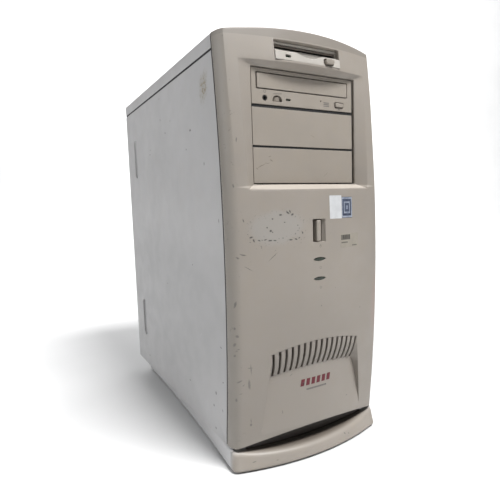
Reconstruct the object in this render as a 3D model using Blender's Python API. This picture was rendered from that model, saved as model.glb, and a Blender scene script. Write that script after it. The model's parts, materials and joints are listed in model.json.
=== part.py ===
"""Desktop computer tower, modelled in metres with +Z up.

The origin is under the middle of the tower, on the surface it stands on. -Y is the front, +X the
right side seen from the front. All sizes below are millimetres; solid() turns them into metres.
"""

import math

import bmesh
import bpy
from mathutils import Matrix, Vector

MM = 0.001
GAP = 0.3  # between two pieces that touch
WELD = 0.002  # points closer than this become one after a cut
SHARP_ANGLE = 22.0  # edges sharper than this stay crisp, in degrees

# Case outline
DEPTH = 442.0
BODY_HALF = 111.2  # half the width over the side panels
BODY_BOTTOM = 26.9
BODY_TOP = 508.7
BODY_REAR = 216.3
SHEET = 1.2  # steel sheet
CROWN = 7.0  # rise of the bezel's top edge
BOTTOM_ARCH = 12.0  # rise of the bezel's bottom edge
COVER_FLANGE = 16.7

# Front bezel: a wide arc in plan, swept along a tall arc in side view
FRONT_Y = -DEPTH / 2
WAIST_Z = 260.9  # height where the front stands furthest out
PLAN_RADIUS = 413.0
SWELL_RADIUS = 2000.0
SEAM_Y = -190.5  # bezel to side panel, at the waist
SEAM_GAP = 0.7
CREASE_HALF = 104.4
BEZEL_WALL = 2.8

# Drive bays
FACE_Y = -197.5  # plane of the drive faceplates
BAY_HALF = 74.25
BAY_OPENING_HALF = 75.7
BAY_OPENING_Z = (339.9, 470.9)
FRAME_TOP_HALF, FRAME_TOP_Z = 90.9, 476.7
FRAME_BOTTOM_HALF, FRAME_BOTTOM_Z = 88.9, 333.3
BLANK_LOWER_Z = (340.4, 381.9)
BLANK_UPPER_Z = (383.3, 426.8)
DISC_DRIVE_Z = (428.6, 470.1)
TRAY_DOOR_X = (-67.3, 65.3)
TRAY_DOOR_Z = (447.8, 465.3)
TRAY_HALF = 64.0
TRAY_LENGTH = 172.5
DISC_WELL_RADIUS = 60.5
DRIVE_LENGTH = 196.0

# Disc drive's controls, as (x, z)
HEADPHONES = (-56.4, 437.8)
VOLUME = (-39.5, 437.9)
VOLUME_RADIUS = 6.0
DISC_LAMP = (-24.2, 438.0)
PINHOLE = (23.8, 440.5)
DISC_EJECT = (52.4, 437.9)

# Floppy drive
FLOPPY_HALF = 47.0
FLOPPY_Z = (478.9, 501.4)
FLOPPY_SLOT_Z = (494.4, 498.2)
FLOPPY_LEDGE_Z = 490.0  # the lower half stands out as a ledge up to here
FLOPPY_LEDGE_DEPTH = 10.2
FLOPPY_DIP_RADIUS = 40.0  # thumb dip in the ledge
FLOPPY_BUTTON = (29.5, 484.2)
FLOPPY_LAMP = (-29.5, 484.2)
FLOPPY_CASE_HALF = 50.8
FLOPPY_CASE_Z = (479.4, 504.6)

# Power button and lamps, on the centre line
POWER_Z = 284.1
POWER_HALF = (6.8, 13.6)
LAMP_Z = (249.9, 226.3)
LAMP_HALF = (9.4, 2.3)

# Air scoop
SCOOP_TOP_HALF, SCOOP_TOP_Z, SCOOP_TOP_RISE = 65.7, 141.9, 9.0
SCOOP_VENT_HALF, SCOOP_VENT_Z, SCOOP_VENT_RISE = 62.6, 110.9, 5.0
SCOOP_END_HALF, SCOOP_END_Z = 77.0, 43.0
SCOOP_DEPTH = 9.0
SLOT_COUNT = 16
SLOT_WIDTH = 3.0

# Plinth
PLINTH_BOTTOM = 2.5
PLINTH_TOP = 26.5
PLINTH_HALF = 112.4
PLINTH_TAPER_Y = -187.5  # the sides are widest up to here
GRIP_FLOOR = 16.8
PLINTH_FRONT_Y = -215.6
PLINTH_FRONT_RADIUS = 330.0
PLINTH_REAR_Y = 205.0
PLINTH_CORNER = 9.0
PLINTH_WALL = 3.0
FOOT_RADIUS = 10.0

# Side panels
RECESS_Y = 162.5
RECESS_HALF = (7.5, 33.5)
RECESS_Z = (405.8, 116.0)
RECESS_FLOOR_X = 104.2
THUMBSCREW_X = -106.0
THUMBSCREW_Z = (430.0, 96.0)
THUMBSCREW_RADIUS = 4.6

# Chassis and what it holds
CHASSIS_LEFT = -102.3
CHASSIS_RIGHT = 106.2
CHASSIS_FRONT = -169.5
CHASSIS_REAR = 214.2
CHASSIS_FLOOR = 29.0
CHASSIS_ROOF = 507.0
CAGE_HALF = 75.0
CAGE_LENGTH = 200.0
SHELF_Z = 474.2
BOARD_X = 96.0
BOARD_Z = (92.0, 397.0)
SUPPLY_X = (-54.0, 96.0)
SUPPLY_Z = (414.0, 500.0)
SUPPLY_LENGTH = 140.0
FAN_RADIUS = 38.0
SUPPLY_FAN = (-4.0, 457.0)
CASE_FAN = (0.0, 128.0)
INLET = (74.0, 476.0)
SELECTOR = (74.0, 446.0)
PORTS_X = (50.0, 94.0)
PORTS_Z = (238.0, 394.0)
PORT_COLUMN_X = 72.0
PORT_ROW_Z = {"keyboard_mouse": 376.0, "usb": 350.0, "serial": 322.0, "parallel": 281.0, "network": 250.0}
CARD_PITCH = 20.32
CARD_Z = 110.0  # lowest expansion slot
CARD_SLOTS = 5
BRACKET_X = (-20.0, 98.0)
VIDEO_X = 40.0
PROCESSOR_Y = (60.0, 76.0)
PROCESSOR_Z = (238.0, 378.0)
FIN_COUNT = 13
MEMORY_Y = 46.0
HARD_DRIVE_X = -20.0
HARD_DRIVE_Z = (290.0, 316.0)


def remove_everything():
    for item in list(bpy.data.objects):
        bpy.data.objects.remove(item, do_unlink=True)


# ---------------------------------------------------------------- materials

FINISHES = {
    "case_paint": ((0.47, 0.46, 0.43), 0.45, 0.0),
    "bezel_plastic": ((0.50, 0.46, 0.41), 0.5, 0.0),
    "blank_plastic": ((0.42, 0.38, 0.34), 0.5, 0.0),
    "white_plastic": ((0.68, 0.65, 0.60), 0.4, 0.0),
    "grey_plastic": ((0.30, 0.27, 0.25), 0.45, 0.0),
    "black_plastic": ((0.02, 0.02, 0.02), 0.4, 0.0),
    "lens": ((0.03, 0.05, 0.03), 0.15, 0.0),
    "zinc_steel": ((0.55, 0.56, 0.57), 0.35, 1.0),
    "rubber": ((0.03, 0.03, 0.03), 0.8, 0.0),
    "circuit_board": ((0.03, 0.16, 0.07), 0.4, 0.0),
    "cast_aluminium": ((0.6, 0.6, 0.62), 0.35, 1.0),
}


def material(name, finish):
    """One node's own material, in one of the finishes above."""
    colour, roughness, metallic = FINISHES[finish]
    made = bpy.data.materials.new(name)
    made.use_nodes = True
    shader = made.node_tree.nodes["Principled BSDF"]
    shader.inputs["Base Color"].default_value = (*colour, 1.0)
    shader.inputs["Roughness"].default_value = roughness
    shader.inputs["Metallic"].default_value = metallic
    return made


# ---------------------------------------------------------------- solids

def solid(points, faces):
    """A closed mesh object from points in millimetres, with its faces turned outwards."""
    mesh = bpy.data.meshes.new("solid")
    mesh.from_pydata([Vector(p) * MM for p in points], [], faces)
    edit = bmesh.new()
    edit.from_mesh(mesh)
    bmesh.ops.recalc_face_normals(edit, faces=edit.faces)
    bmesh.ops.triangulate(edit, faces=edit.faces)
    edit.to_mesh(mesh)
    edit.free()
    made = bpy.data.objects.new("solid", mesh)
    bpy.context.scene.collection.objects.link(made)
    return made


def loft(rings):
    """A solid through rings of the same number of points, with both ends capped."""
    count = len(rings[0])
    points = [p for ring in rings for p in ring]
    faces = []
    for level in range(len(rings) - 1):
        low, high = level * count, (level + 1) * count
        for i in range(count):
            j = (i + 1) % count
            faces.append((low + i, low + j, high + j, high + i))
    faces.append(tuple(range(count)))
    faces.append(tuple(range(len(points) - count, len(points))))
    return solid(points, faces)


def box(x, y, z):
    corners = ((x[0], y[0]), (x[1], y[0]), (x[1], y[1]), (x[0], y[1]))
    rings = [[(a, b, level) for a, b in corners] for level in z]
    return loft(rings)


def prism(outline, axis, span):
    """An outline pushed along an axis. Its two numbers are the other two axes, in X, Y, Z order."""
    def place(pair, along):
        values = list(pair)
        values.insert("XYZ".index(axis), along)
        return tuple(values)
    return loft([[place(pair, along) for pair in outline] for along in span])


def circle(centre, radius, segments=24):
    turn = 2 * math.pi / segments
    return [(centre[0] + radius * math.cos(i * turn), centre[1] + radius * math.sin(i * turn))
            for i in range(segments)]


def rounded(x, y, radius, steps=3):
    """A rectangle with round corners."""
    outline = []
    corners = ((x[1] - radius, y[1] - radius), (x[0] + radius, y[1] - radius),
               (x[0] + radius, y[0] + radius), (x[1] - radius, y[0] + radius))
    for quarter, (cx, cy) in enumerate(corners):
        for step in range(steps + 1):
            angle = (quarter + step / steps) * math.pi / 2
            outline.append((cx + radius * math.cos(angle), cy + radius * math.sin(angle)))
    return outline


def around(centre, half):
    """The span from centre - half to centre + half."""
    return (centre - half, centre + half)


def joined(pieces):
    """One object of several separate solids, to cut with."""
    edit = bmesh.new()
    for piece in pieces:
        edit.from_mesh(piece.data)
        bpy.data.objects.remove(piece, do_unlink=True)
    mesh = bpy.data.meshes.new("joined")
    edit.to_mesh(mesh)
    edit.free()
    made = bpy.data.objects.new("joined", mesh)
    bpy.context.scene.collection.objects.link(made)
    return made


def combine(base, tools, operation):
    for tool in tools:
        change = base.modifiers.new("combine", "BOOLEAN")
        change.operation = operation
        change.solver = "EXACT"
        change.object = tool
        graph = bpy.context.evaluated_depsgraph_get()
        result = bpy.data.meshes.new_from_object(base.evaluated_get(graph))
        tidy = bmesh.new()
        tidy.from_mesh(result)
        bmesh.ops.remove_doubles(tidy, verts=tidy.verts, dist=WELD * MM)
        bmesh.ops.dissolve_degenerate(tidy, edges=tidy.edges, dist=WELD * MM)
        bmesh.ops.triangulate(tidy, faces=tidy.faces)
        tidy.to_mesh(result)
        tidy.free()
        base.modifiers.clear()
        base.data = result
        bpy.data.objects.remove(tool, do_unlink=True)
    return base


def cut(base, *tools):
    return combine(base, tools, "DIFFERENCE")


def union(base, *tools):
    return combine(base, tools, "UNION")


def node(name, made, finish, pivot=(0.0, 0.0, 0.0)):
    """Names a piece, gives it its material, and puts its origin on its joint's axis."""
    origin = Vector(pivot) * MM
    made.data.transform(Matrix.Translation(-origin))
    made.location = origin
    made.name = name
    made.data.name = name
    made.data.materials.clear()
    made.data.materials.append(material(name, finish))
    made.data.shade_smooth()
    made.data.set_sharp_from_angle(angle=math.radians(SHARP_ANGLE))
    return made


# ---------------------------------------------------------------- front bezel

def swell(z, radius=SWELL_RADIUS):
    return (z - WAIST_Z) ** 2 / (2 * radius)


def front_y(x, z):
    """The bezel's front surface."""
    return FRONT_Y + swell(z) + x * x / (2 * PLAN_RADIUS)


def seam_y(z):
    return SEAM_Y + swell(z)


def arch(x, half, rise):
    return rise * max(0.0, 1 - (x / half) ** 2)


def blend(value, low, high):
    t = min(1.0, max(0.0, (value - low) / (high - low)))
    return t * t * (3 - 2 * t)


def bezel_section(z, inset, across=16, corner=4):
    """(x, y) from the left seam round the front to the right seam, at one height."""
    roundness = 1 - blend(z, 320, 460)
    crease = CREASE_HALF - 3.0 * roundness
    start = Vector((BODY_HALF, seam_y(z)))
    end = Vector((crease, front_y(crease, z)))
    middle = (start + end) / 2
    control = middle.lerp(Vector((BODY_HALF - 0.4, end.y + 2.5)), roundness)
    side = []
    for i in range(corner):
        t = i / corner
        side.append(start * (1 - t) ** 2 + control * 2 * t * (1 - t) + end * t * t)
    front = [Vector((crease * (1 - 2 * i / across), 0)) for i in range(across + 1)]
    for p in front:
        p.y = front_y(p.x, z)
    right = side + front[: across // 2 + 1]
    half = [(p.x * (1 - inset / BODY_HALF), p.y + inset) for p in right]
    return [(-x, y) for x, y in half[:-1]] + half[::-1]


def bezel_body(inset=0.0, beyond=0.0, levels=16):
    """The bezel's envelope, closed at the seam; or, inset, the hollow inside it."""
    flat = [x for x, _ in bezel_section(WAIST_Z, inset)]
    outline = len(flat)
    merged = beyond == 0
    rings = []
    for level in range(levels + 1):
        t = level / levels

        def height(x, low_rise, high_rise):
            low = BODY_BOTTOM + 1.0 + arch(x, 107.5, low_rise) + inset
            high = BODY_TOP + arch(x, CREASE_HALF, high_rise) - inset
            return low + t * (high - low)

        ring = []
        for i, x_flat in enumerate(flat):
            z = height(x_flat, BOTTOM_ARCH, CROWN)
            ring.append((*bezel_section(z, inset)[i], z))
        back = flat[1:-1] if merged else flat
        for x_flat in reversed(back):
            z = height(x_flat, BOTTOM_ARCH, 0.4 * CROWN)
            ring.append((x_flat, seam_y(z) + beyond, z))
        rings.append(ring)
    count = len(rings[0])
    last = count if merged else count - 1
    seam = [last - i for i in range(outline)]
    if merged:
        seam[0], seam[-1] = 0, outline - 1
    points = [p for ring in rings for p in ring]
    faces = []
    for level in range(levels):
        low, high = level * count, (level + 1) * count
        for i in range(count):
            j = (i + 1) % count
            faces.append((low + i, low + j, high + j, high + i))
    for base in (0, levels * count):
        for i in range(outline - 1):
            corners = (i, i + 1, seam[i + 1], seam[i])
            faces.append(tuple(base + c for c in dict.fromkeys(corners)))
    return solid(points, faces)


def bay_frame(grow):
    """The mitred hollow that leads from the front surface to the drive bays."""
    def edge(corners, steps=5):
        loop = []
        for a, b in zip(corners, corners[1:] + corners[:1]):
            for i in range(steps):
                t = i / steps
                loop.append((a[0] + t * (b[0] - a[0]), a[1] + t * (b[1] - a[1])))
        return loop

    top, bottom = FRAME_TOP_HALF + grow, FRAME_BOTTOM_HALF + grow
    high, low = FRAME_TOP_Z + grow, FRAME_BOTTOM_Z - grow
    outer = edge([(-top, high), (top, high), (bottom, low), (-bottom, low)])
    side = BAY_OPENING_HALF + grow
    z0, z1 = BAY_OPENING_Z[0] - grow, BAY_OPENING_Z[1] + grow
    inner = edge([(-side, z1), (side, z1), (side, z0), (-side, z0)])
    rings = [
        [(x, FRONT_Y - 20, z) for x, z in outer],
        [(x, front_y(x, z), z) for x, z in outer],
        [(x, FACE_Y - 2, z) for x, z in inner],
        [(x, FACE_Y + (4 if grow else 30), z) for x, z in inner],
    ]
    return loft(rings)


def scoop(grow, across=10):
    """The hollow above the lower front: it rolls in to the vent's lower edge, then slopes out again."""
    rings = []
    levels = [(s / 5, True) for s in range(6)] + [(s / 4, False) for s in range(1, 5)]
    for s, vent in levels:
        if vent:
            depth = 0.4 + (SCOOP_DEPTH - 0.4) * s ** 2
            floor_half = SCOOP_TOP_HALF + s * (SCOOP_VENT_HALF - SCOOP_TOP_HALF)
        else:
            depth = SCOOP_DEPTH * (1 - s) - 0.6 * s
            floor_half = SCOOP_VENT_HALF + (SCOOP_END_HALF - SCOOP_VENT_HALF) * math.sqrt(s)
        floor_half += grow

        def height(x):
            top = SCOOP_TOP_Z + grow + arch(x, SCOOP_TOP_HALF, SCOOP_TOP_RISE)
            middle = SCOOP_VENT_Z + arch(x, SCOOP_VENT_HALF, SCOOP_VENT_RISE)
            if vent:
                return top + s * (middle - top)
            return middle + s * (SCOOP_END_Z - grow - middle)

        z_side = height(floor_half)
        mouth = (SCOOP_TOP_Z - z_side) / (SCOOP_TOP_Z - SCOOP_END_Z)
        mouth_half = SCOOP_TOP_HALF + mouth * (SCOOP_END_HALF - SCOOP_TOP_HALF) + grow + 0.01
        ring = [(-mouth_half, FRONT_Y - 20, z_side), (-mouth_half, front_y(mouth_half, z_side) - 0.4, z_side)]
        for i in range(across + 1):
            x = floor_half * (2 * i / across - 1)
            z = height(x)
            ring.append((x, front_y(x, z) + depth + grow, z))
        ring += [(mouth_half, front_y(mouth_half, z_side) - 0.4, z_side), (mouth_half, FRONT_Y - 20, z_side)]
        rings.append(ring)
    return loft(rings)


def vent_slots():
    slots = []
    for i in range(SLOT_COUNT):
        u = (2 * i / (SLOT_COUNT - 1) - 1) * 0.965
        top, bottom = u * SCOOP_TOP_HALF, u * SCOOP_VENT_HALF
        high = SCOOP_TOP_Z + arch(top, SCOOP_TOP_HALF, SCOOP_TOP_RISE) - 0.6
        low = SCOOP_VENT_Z + arch(bottom, SCOOP_VENT_HALF, SCOOP_VENT_RISE) + 0.8
        half = SLOT_WIDTH / 2
        outline = [(bottom - half, low), (bottom + half, low), (top + half, high), (top - half, high)]
        slots.append(prism(outline, "Y", (FRONT_Y - 20, FACE_Y + 5)))
    return joined(slots)


def lens_outline(x, z, half_width, half_height, steps=6):
    """A window with pointed ends and a bowed top and bottom."""
    outline = []
    for sign in (1, -1):
        for i in range(steps):
            t = 1 - 2 * i / steps
            outline.append((x + sign * t * half_width, z + sign * half_height * (1 - t * t) ** 0.7))
    return outline


def front_bezel():
    hollow = cut(
        bezel_body(BEZEL_WALL, 8.0),
        bay_frame(BEZEL_WALL),
        scoop(BEZEL_WALL),
        box(around(0, FLOPPY_HALF + 2.4), (FRONT_Y - 30, FACE_Y + 1.3),
            (FLOPPY_Z[0] - 6.1, FLOPPY_Z[1] + 2.4)),
        box(around(0, 11), (FRONT_Y - 30, FRONT_Y + 12), around(POWER_Z, 18)),
    )
    shell = cut(bezel_body(), hollow, bay_frame(0), scoop(0), vent_slots())
    floppy = box(around(0, FLOPPY_HALF), (FRONT_Y - 30, FACE_Y + 30), FLOPPY_Z)
    power = prism(rounded(around(0, POWER_HALF[0]), around(POWER_Z, POWER_HALF[1]), 2.0), "Y",
                  (FRONT_Y - 30, FACE_Y + 5))
    lamps = [prism(lens_outline(0, z, *LAMP_HALF), "Y", (FRONT_Y - 30, FACE_Y + 5)) for z in LAMP_Z]
    cut(shell, joined([floppy, power] + lamps))
    node("front_bezel", shell, "bezel_plastic")


def power_controls():
    surface = front_y(0, POWER_Z)
    rib = prism(rounded(around(0, 3.2), around(POWER_Z, 12.6), 1.2), "Y", (surface + 0.3, surface + 14))
    plate = prism(rounded(around(0, POWER_HALF[0] - 0.5), around(POWER_Z, POWER_HALF[1] - 0.5), 1.6), "Y",
                  (surface + 5, surface + 7.5))
    node("power_button", union(rib, plate), "bezel_plastic", (0, surface, POWER_Z))
    node("power_switch", box(around(0, 9), (surface + 17.4, surface + 30), around(POWER_Z, 11)),
         "black_plastic")
    for name, z in zip(("power_lamp_lens", "disk_lamp_lens"), LAMP_Z):
        outline = lens_outline(0, z, LAMP_HALF[0] - GAP, LAMP_HALF[1] - GAP)
        node(name, prism(outline, "Y", (front_y(0, z) + 0.6, front_y(0, z) + 5)), "lens")


# ---------------------------------------------------------------- drives

def blank_cover(name, z):
    plate = box(around(0, BAY_HALF), (FACE_Y, FACE_Y + 2.5), z)
    clips = [box(around(side * (BAY_HALF - 3), 1.5), (FACE_Y + 2, FACE_Y + 20), (z[0] + 10, z[1] - 10))
             for side in (-1, 1)]
    node(name, union(plate, *clips), "blank_plastic")


def disc_drive():
    z = DISC_DRIVE_Z
    case_z = (z[0] + 1, z[1] - 1)
    case = cut(box(around(0, BAY_HALF - 1.25), (FACE_Y + 6.3, FACE_Y + DRIVE_LENGTH), case_z),
               box(around(0, BAY_HALF - 2.25), (FACE_Y, FACE_Y + DRIVE_LENGTH - 1),
                   (case_z[0] + 1, case_z[1] - 1)))
    node("disc_drive_case", case, "zinc_steel")

    door_x = (TRAY_DOOR_X[0] - 0.5, TRAY_DOOR_X[1] + 0.5)
    door_z = (TRAY_DOOR_Z[0] - 0.5, TRAY_DOOR_Z[1] + 0.5)
    through = (FACE_Y - 5, FACE_Y + 10)
    holes = [
        prism(rounded(door_x, door_z, 1.5), "Y", through),
        prism(circle(HEADPHONES, 2.9, 16), "Y", through),
        prism(rounded(around(VOLUME[0], 6.6), around(VOLUME[1], 3.7), 2.6), "Y", through),
        prism(rounded(around(DISC_LAMP[0], 3.2), around(DISC_LAMP[1], 1.2), 0.5, 1), "Y", through),
        prism(circle(PINHOLE, 0.8, 8), "Y", through),
        prism(rounded(around(DISC_EJECT[0], 7.4), around(DISC_EJECT[1], 3.4), 1.8), "Y", through),
    ]
    face = box(around(0, BAY_HALF), (FACE_Y, FACE_Y + 6), z)
    node("disc_drive_faceplate", cut(face, joined(holes)), "blank_plastic")

    tray_x = sum(TRAY_DOOR_X) / 2
    tray_z = (TRAY_DOOR_Z[0] + 3.0, TRAY_DOOR_Z[0] + 9.5)
    tray = cut(box(around(tray_x, TRAY_HALF), (FACE_Y + 2.5, FACE_Y + 2.5 + TRAY_LENGTH), tray_z),
               prism(circle((tray_x, FACE_Y + 78), DISC_WELL_RADIUS, 48), "Z",
                     (tray_z[1] - 3.2, tray_z[1] + 5)))
    cut(tray, box(around(tray_x, 20), (FACE_Y + 60, FACE_Y + 150), (tray_z[0] - 5, tray_z[1] + 5)))
    node("disc_tray", tray, "black_plastic")
    door = prism(rounded(TRAY_DOOR_X, TRAY_DOOR_Z, 1.2), "Y", (FACE_Y - 0.6, FACE_Y + 2.2))
    node("disc_tray_door", door, "blank_plastic")

    button = prism(rounded(around(DISC_EJECT[0], 7.0), around(DISC_EJECT[1], 3.0), 1.5), "Y",
                   (FACE_Y - 1.4, FACE_Y + 9))
    node("disc_eject_button", button, "blank_plastic", (DISC_EJECT[0], FACE_Y, DISC_EJECT[1]))
    wheel_y = FACE_Y + 6.6
    wheel = prism(circle((VOLUME[0], wheel_y), VOLUME_RADIUS, 24), "Z", around(VOLUME[1], 2.7))
    node("volume_wheel", wheel, "blank_plastic", (VOLUME[0], wheel_y, VOLUME[1]))
    jack = cut(prism(circle(HEADPHONES, 2.6, 16), "Y", (FACE_Y + 0.2, FACE_Y + 12)),
               prism(circle(HEADPHONES, 1.8, 12), "Y", (FACE_Y - 5, FACE_Y + 11)))
    node("headphone_jack", jack, "black_plastic")
    lamp = box(around(DISC_LAMP[0], 2.8), (FACE_Y + 0.2, FACE_Y + 5), around(DISC_LAMP[1], 0.8))
    node("disc_lamp_lens", lamp, "lens")


def floppy_drive():
    low, high = FLOPPY_Z[0] + 0.35, FLOPPY_Z[1] - 0.35
    half = FLOPPY_HALF - 0.35
    back, ledge_y = FACE_Y + 4, FACE_Y - FLOPPY_LEDGE_DEPTH
    profile = [(back, low), (ledge_y, low), (ledge_y + 1.2, FLOPPY_LEDGE_Z - 1.0),
               (ledge_y + 2.7, FLOPPY_LEDGE_Z),
               (FACE_Y - 1.5, FLOPPY_LEDGE_Z + 1.8), (FACE_Y - 1.5, high), (back, high)]
    face = prism(profile, "X", around(0, half))
    through = (FACE_Y - 20, FACE_Y + 10)
    dip_centre = (2, FLOPPY_LEDGE_Z + FLOPPY_DIP_RADIUS - 4)
    dip = prism(circle(dip_centre, FLOPPY_DIP_RADIUS, 48), "Y", (FACE_Y - 20, FACE_Y - 2.6))
    holes = [
        prism(rounded(around(0, half - 1.2), FLOPPY_SLOT_Z, 0.6, 1), "Y", through),
        prism(rounded(around(FLOPPY_BUTTON[0], 7.6), around(FLOPPY_BUTTON[1], 4.0), 3.2), "Y", through),
        box(around(FLOPPY_LAMP[0], 3.2), through, around(FLOPPY_LAMP[1], 1.5)),
    ]
    node("floppy_faceplate", cut(face, dip, joined(holes)), "white_plastic")

    door = box(around(0, half - 1.6), (FACE_Y + 0.1, FACE_Y + 1.1),
               (FLOPPY_SLOT_Z[0] + GAP, FLOPPY_SLOT_Z[1] - GAP))
    node("floppy_door", door, "black_plastic", (0, FACE_Y + 0.6, FLOPPY_SLOT_Z[1] - 0.7))
    button = prism(rounded(around(FLOPPY_BUTTON[0], 7.0), around(FLOPPY_BUTTON[1], 3.4), 2.8), "Y",
                   (ledge_y - 2.8, FACE_Y + 2.5))
    node("floppy_eject_button", button, "grey_plastic", (FLOPPY_BUTTON[0], FACE_Y, FLOPPY_BUTTON[1]))
    lamp = box(around(FLOPPY_LAMP[0], 2.8), (FACE_Y - 8.2, FACE_Y - 2), around(FLOPPY_LAMP[1], 1.1))
    node("floppy_lamp_lens", lamp, "lens")
    low, high = FLOPPY_CASE_Z
    body = cut(box(around(0, FLOPPY_CASE_HALF), (FACE_Y + 7.2, FACE_Y + 150), (low, high)),
               box(around(0, FLOPPY_CASE_HALF - 1), (FACE_Y, FACE_Y + 149), (low + 1, high - 1)))
    node("floppy_drive_case", body, "zinc_steel")


def hard_drive():
    # lies under the drive cage, behind the chassis's front plate
    body = box(around(HARD_DRIVE_X, 50.8), (CHASSIS_FRONT + 32, CHASSIS_FRONT + 179), HARD_DRIVE_Z)
    node("hard_drive", body, "cast_aluminium")


# ---------------------------------------------------------------- covers

def seam_outline(z_low, z_high, steps=18):
    """(y, z) of a side panel's outline; its front edge follows the bezel."""
    front = [z_low + (z_high - z_low) * i / steps for i in range(steps + 1)]
    return [(BODY_REAR, z_low)] + [(seam_y(z) + SEAM_GAP, z) for z in front] + [(BODY_REAR, z_high)]


def side_panel(name, side, recesses):
    top = BODY_TOP - COVER_FLANGE - 1.1
    outer, inner = side * BODY_HALF, side * (BODY_HALF - SHEET)
    plate = prism(seam_outline(BODY_BOTTOM, top), "X", sorted((outer, inner)))
    overlap = inner + side * 0.2
    lip = sorted((overlap, side * (BODY_HALF - 4.2)))
    parts = [
        box(lip, (-165, BODY_REAR), (BODY_BOTTOM, BODY_BOTTOM + SHEET)),
        box(lip, (-165, BODY_REAR), (top - SHEET, top)),
        box(sorted((overlap, side * 100.6)), (BODY_REAR - SHEET, BODY_REAR), (BODY_BOTTOM, top)),
    ]
    pockets = []
    for z in recesses:
        wide, high = RECESS_HALF
        walls = rounded(around(RECESS_Y, wide + SHEET), around(z, high + SHEET), wide + SHEET - 0.1, 4)
        parts.append(prism(walls, "X", sorted((overlap, side * (RECESS_FLOOR_X - SHEET)))))
        pocket = rounded(around(RECESS_Y, wide), around(z, high), wide - 0.1, 4)
        pockets.append(prism(pocket, "X", sorted((side * RECESS_FLOOR_X, side * 130))))
    union(plate, *parts)
    if pockets:
        cut(plate, joined(pockets))
    node(name, plate, "case_paint")


def top_cover():
    front_top, front_low = seam_y(BODY_TOP) + SEAM_GAP, seam_y(BODY_TOP - COVER_FLANGE) + SEAM_GAP
    low, high, inner = BODY_TOP - COVER_FLANGE, BODY_TOP, BODY_TOP - SHEET
    wide, narrow = BODY_HALF, BODY_HALF - SHEET
    outline = [(-wide, low), (-wide, high - 1), (-wide + 1, high), (wide - 1, high), (wide, high - 1),
               (wide, low), (narrow, low), (narrow, inner), (-narrow, inner), (-narrow, low)]
    ring = [(x, front_low if z == low else front_top, z) for x, z in outline]
    node("top_cover", loft([ring, [(x, BODY_REAR, z) for x, z in outline]]), "case_paint")


def thumbscrews():
    # captive screws through the left panel's rear flange
    for name, z in zip(("thumbscrew_upper", "thumbscrew_lower"), THUMBSCREW_Z):
        head = prism(circle((THUMBSCREW_X, z), THUMBSCREW_RADIUS, 20), "Y", (BODY_REAR + GAP, DEPTH / 2))
        node(name, head, "zinc_steel", (THUMBSCREW_X, BODY_REAR, z))


# ---------------------------------------------------------------- plinth and feet

def plinth_half(y):
    """Half the plinth's width: it draws in towards the rear."""
    back = max(0.0, y - PLINTH_TAPER_Y)
    return PLINTH_HALF - 0.082 * back + 0.000105 * back * back


def plinth_outline(grow, front_back):
    """(x, y) round the plinth: a wide arc in front, and sides that draw in towards the rear."""
    front, rear = PLINTH_FRONT_Y + front_back - grow, PLINTH_REAR_Y + grow
    corner_x = PLINTH_HALF + grow - PLINTH_CORNER
    arc = [corner_x * (1 - i / 8) for i in range(17)]
    corner_y = front + corner_x ** 2 / (2 * PLINTH_FRONT_RADIUS)
    left = []
    for step in range(1, 4):
        angle = step / 4 * math.pi / 2
        left.append((corner_x + PLINTH_CORNER * math.sin(angle),
                     corner_y + PLINTH_CORNER * (1 - math.cos(angle))))
    sides = 6
    for i in range(sides + 1):
        y = PLINTH_TAPER_Y + (rear - 8 - PLINTH_TAPER_Y) * i / sides
        left.append((plinth_half(y) + grow, y))
    left.append((left[-1][0] - 8, rear))
    middle = [(x, front + x * x / (2 * PLINTH_FRONT_RADIUS)) for x in arc]
    return left[::-1] + middle + [(-x, y) for x, y in left]


def plinth():
    rings = [[(x, y, z) for x, y in plinth_outline(grow, back)]
             for grow, back, z in ((-1.0, 0, PLINTH_BOTTOM), (0, 0, PLINTH_BOTTOM + 2.0),
                                   (-0.5, 2.5, 15.0), (-1.0, 5.0, PLINTH_TOP))]
    shell = loft(rings)
    # the hollow under the bezel's lower edge: lowest in the middle, and rising towards the rear at its ends
    grip_back = SEAM_Y + 4.0

    def dish(y, rise):
        floor = [(x * 13.0, GRIP_FLOOR + rise * (x / 8) ** 2) for x in range(-9, 10)]
        return [(x, y, z) for x, z in [(120, 60), (-120, 60)] + floor]

    cut(shell, loft([dish(FRONT_Y - 60, 0.6), dish(PLINTH_FRONT_Y + 14, 5.4), dish(grip_back, 9.0)]))
    inner = plinth_outline(-PLINTH_WALL, 2.0)
    deep = prism([(x, max(y, grip_back + PLINTH_WALL)) for x, y in inner], "Z", (-5, PLINTH_TOP - 2.5))
    shallow = prism(inner, "Z", (-5, GRIP_FLOOR - 3.0))
    pads = [box(around(x, 13), around(y, 13), (-10, 60)) for x, y in foot_places()]
    hollow = cut(union(shallow, deep), *pads)
    node("plinth", cut(shell, hollow), "bezel_plastic")


def foot_places():
    return [(-90, -185), (90, -185), (-78, 184), (78, 184)]


def feet():
    names = ("foot_front_left", "foot_front_right", "foot_rear_left", "foot_rear_right")
    for name, (x, y) in zip(names, foot_places()):
        rings = [[(px, py, z) for px, py in circle((x, y), radius, 20)]
                 for radius, z in ((FOOT_RADIUS - 1, 0), (FOOT_RADIUS, 0.8), (FOOT_RADIUS, PLINTH_BOTTOM - GAP))]
        node(name, loft(rings), "rubber")


# ---------------------------------------------------------------- chassis

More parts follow.
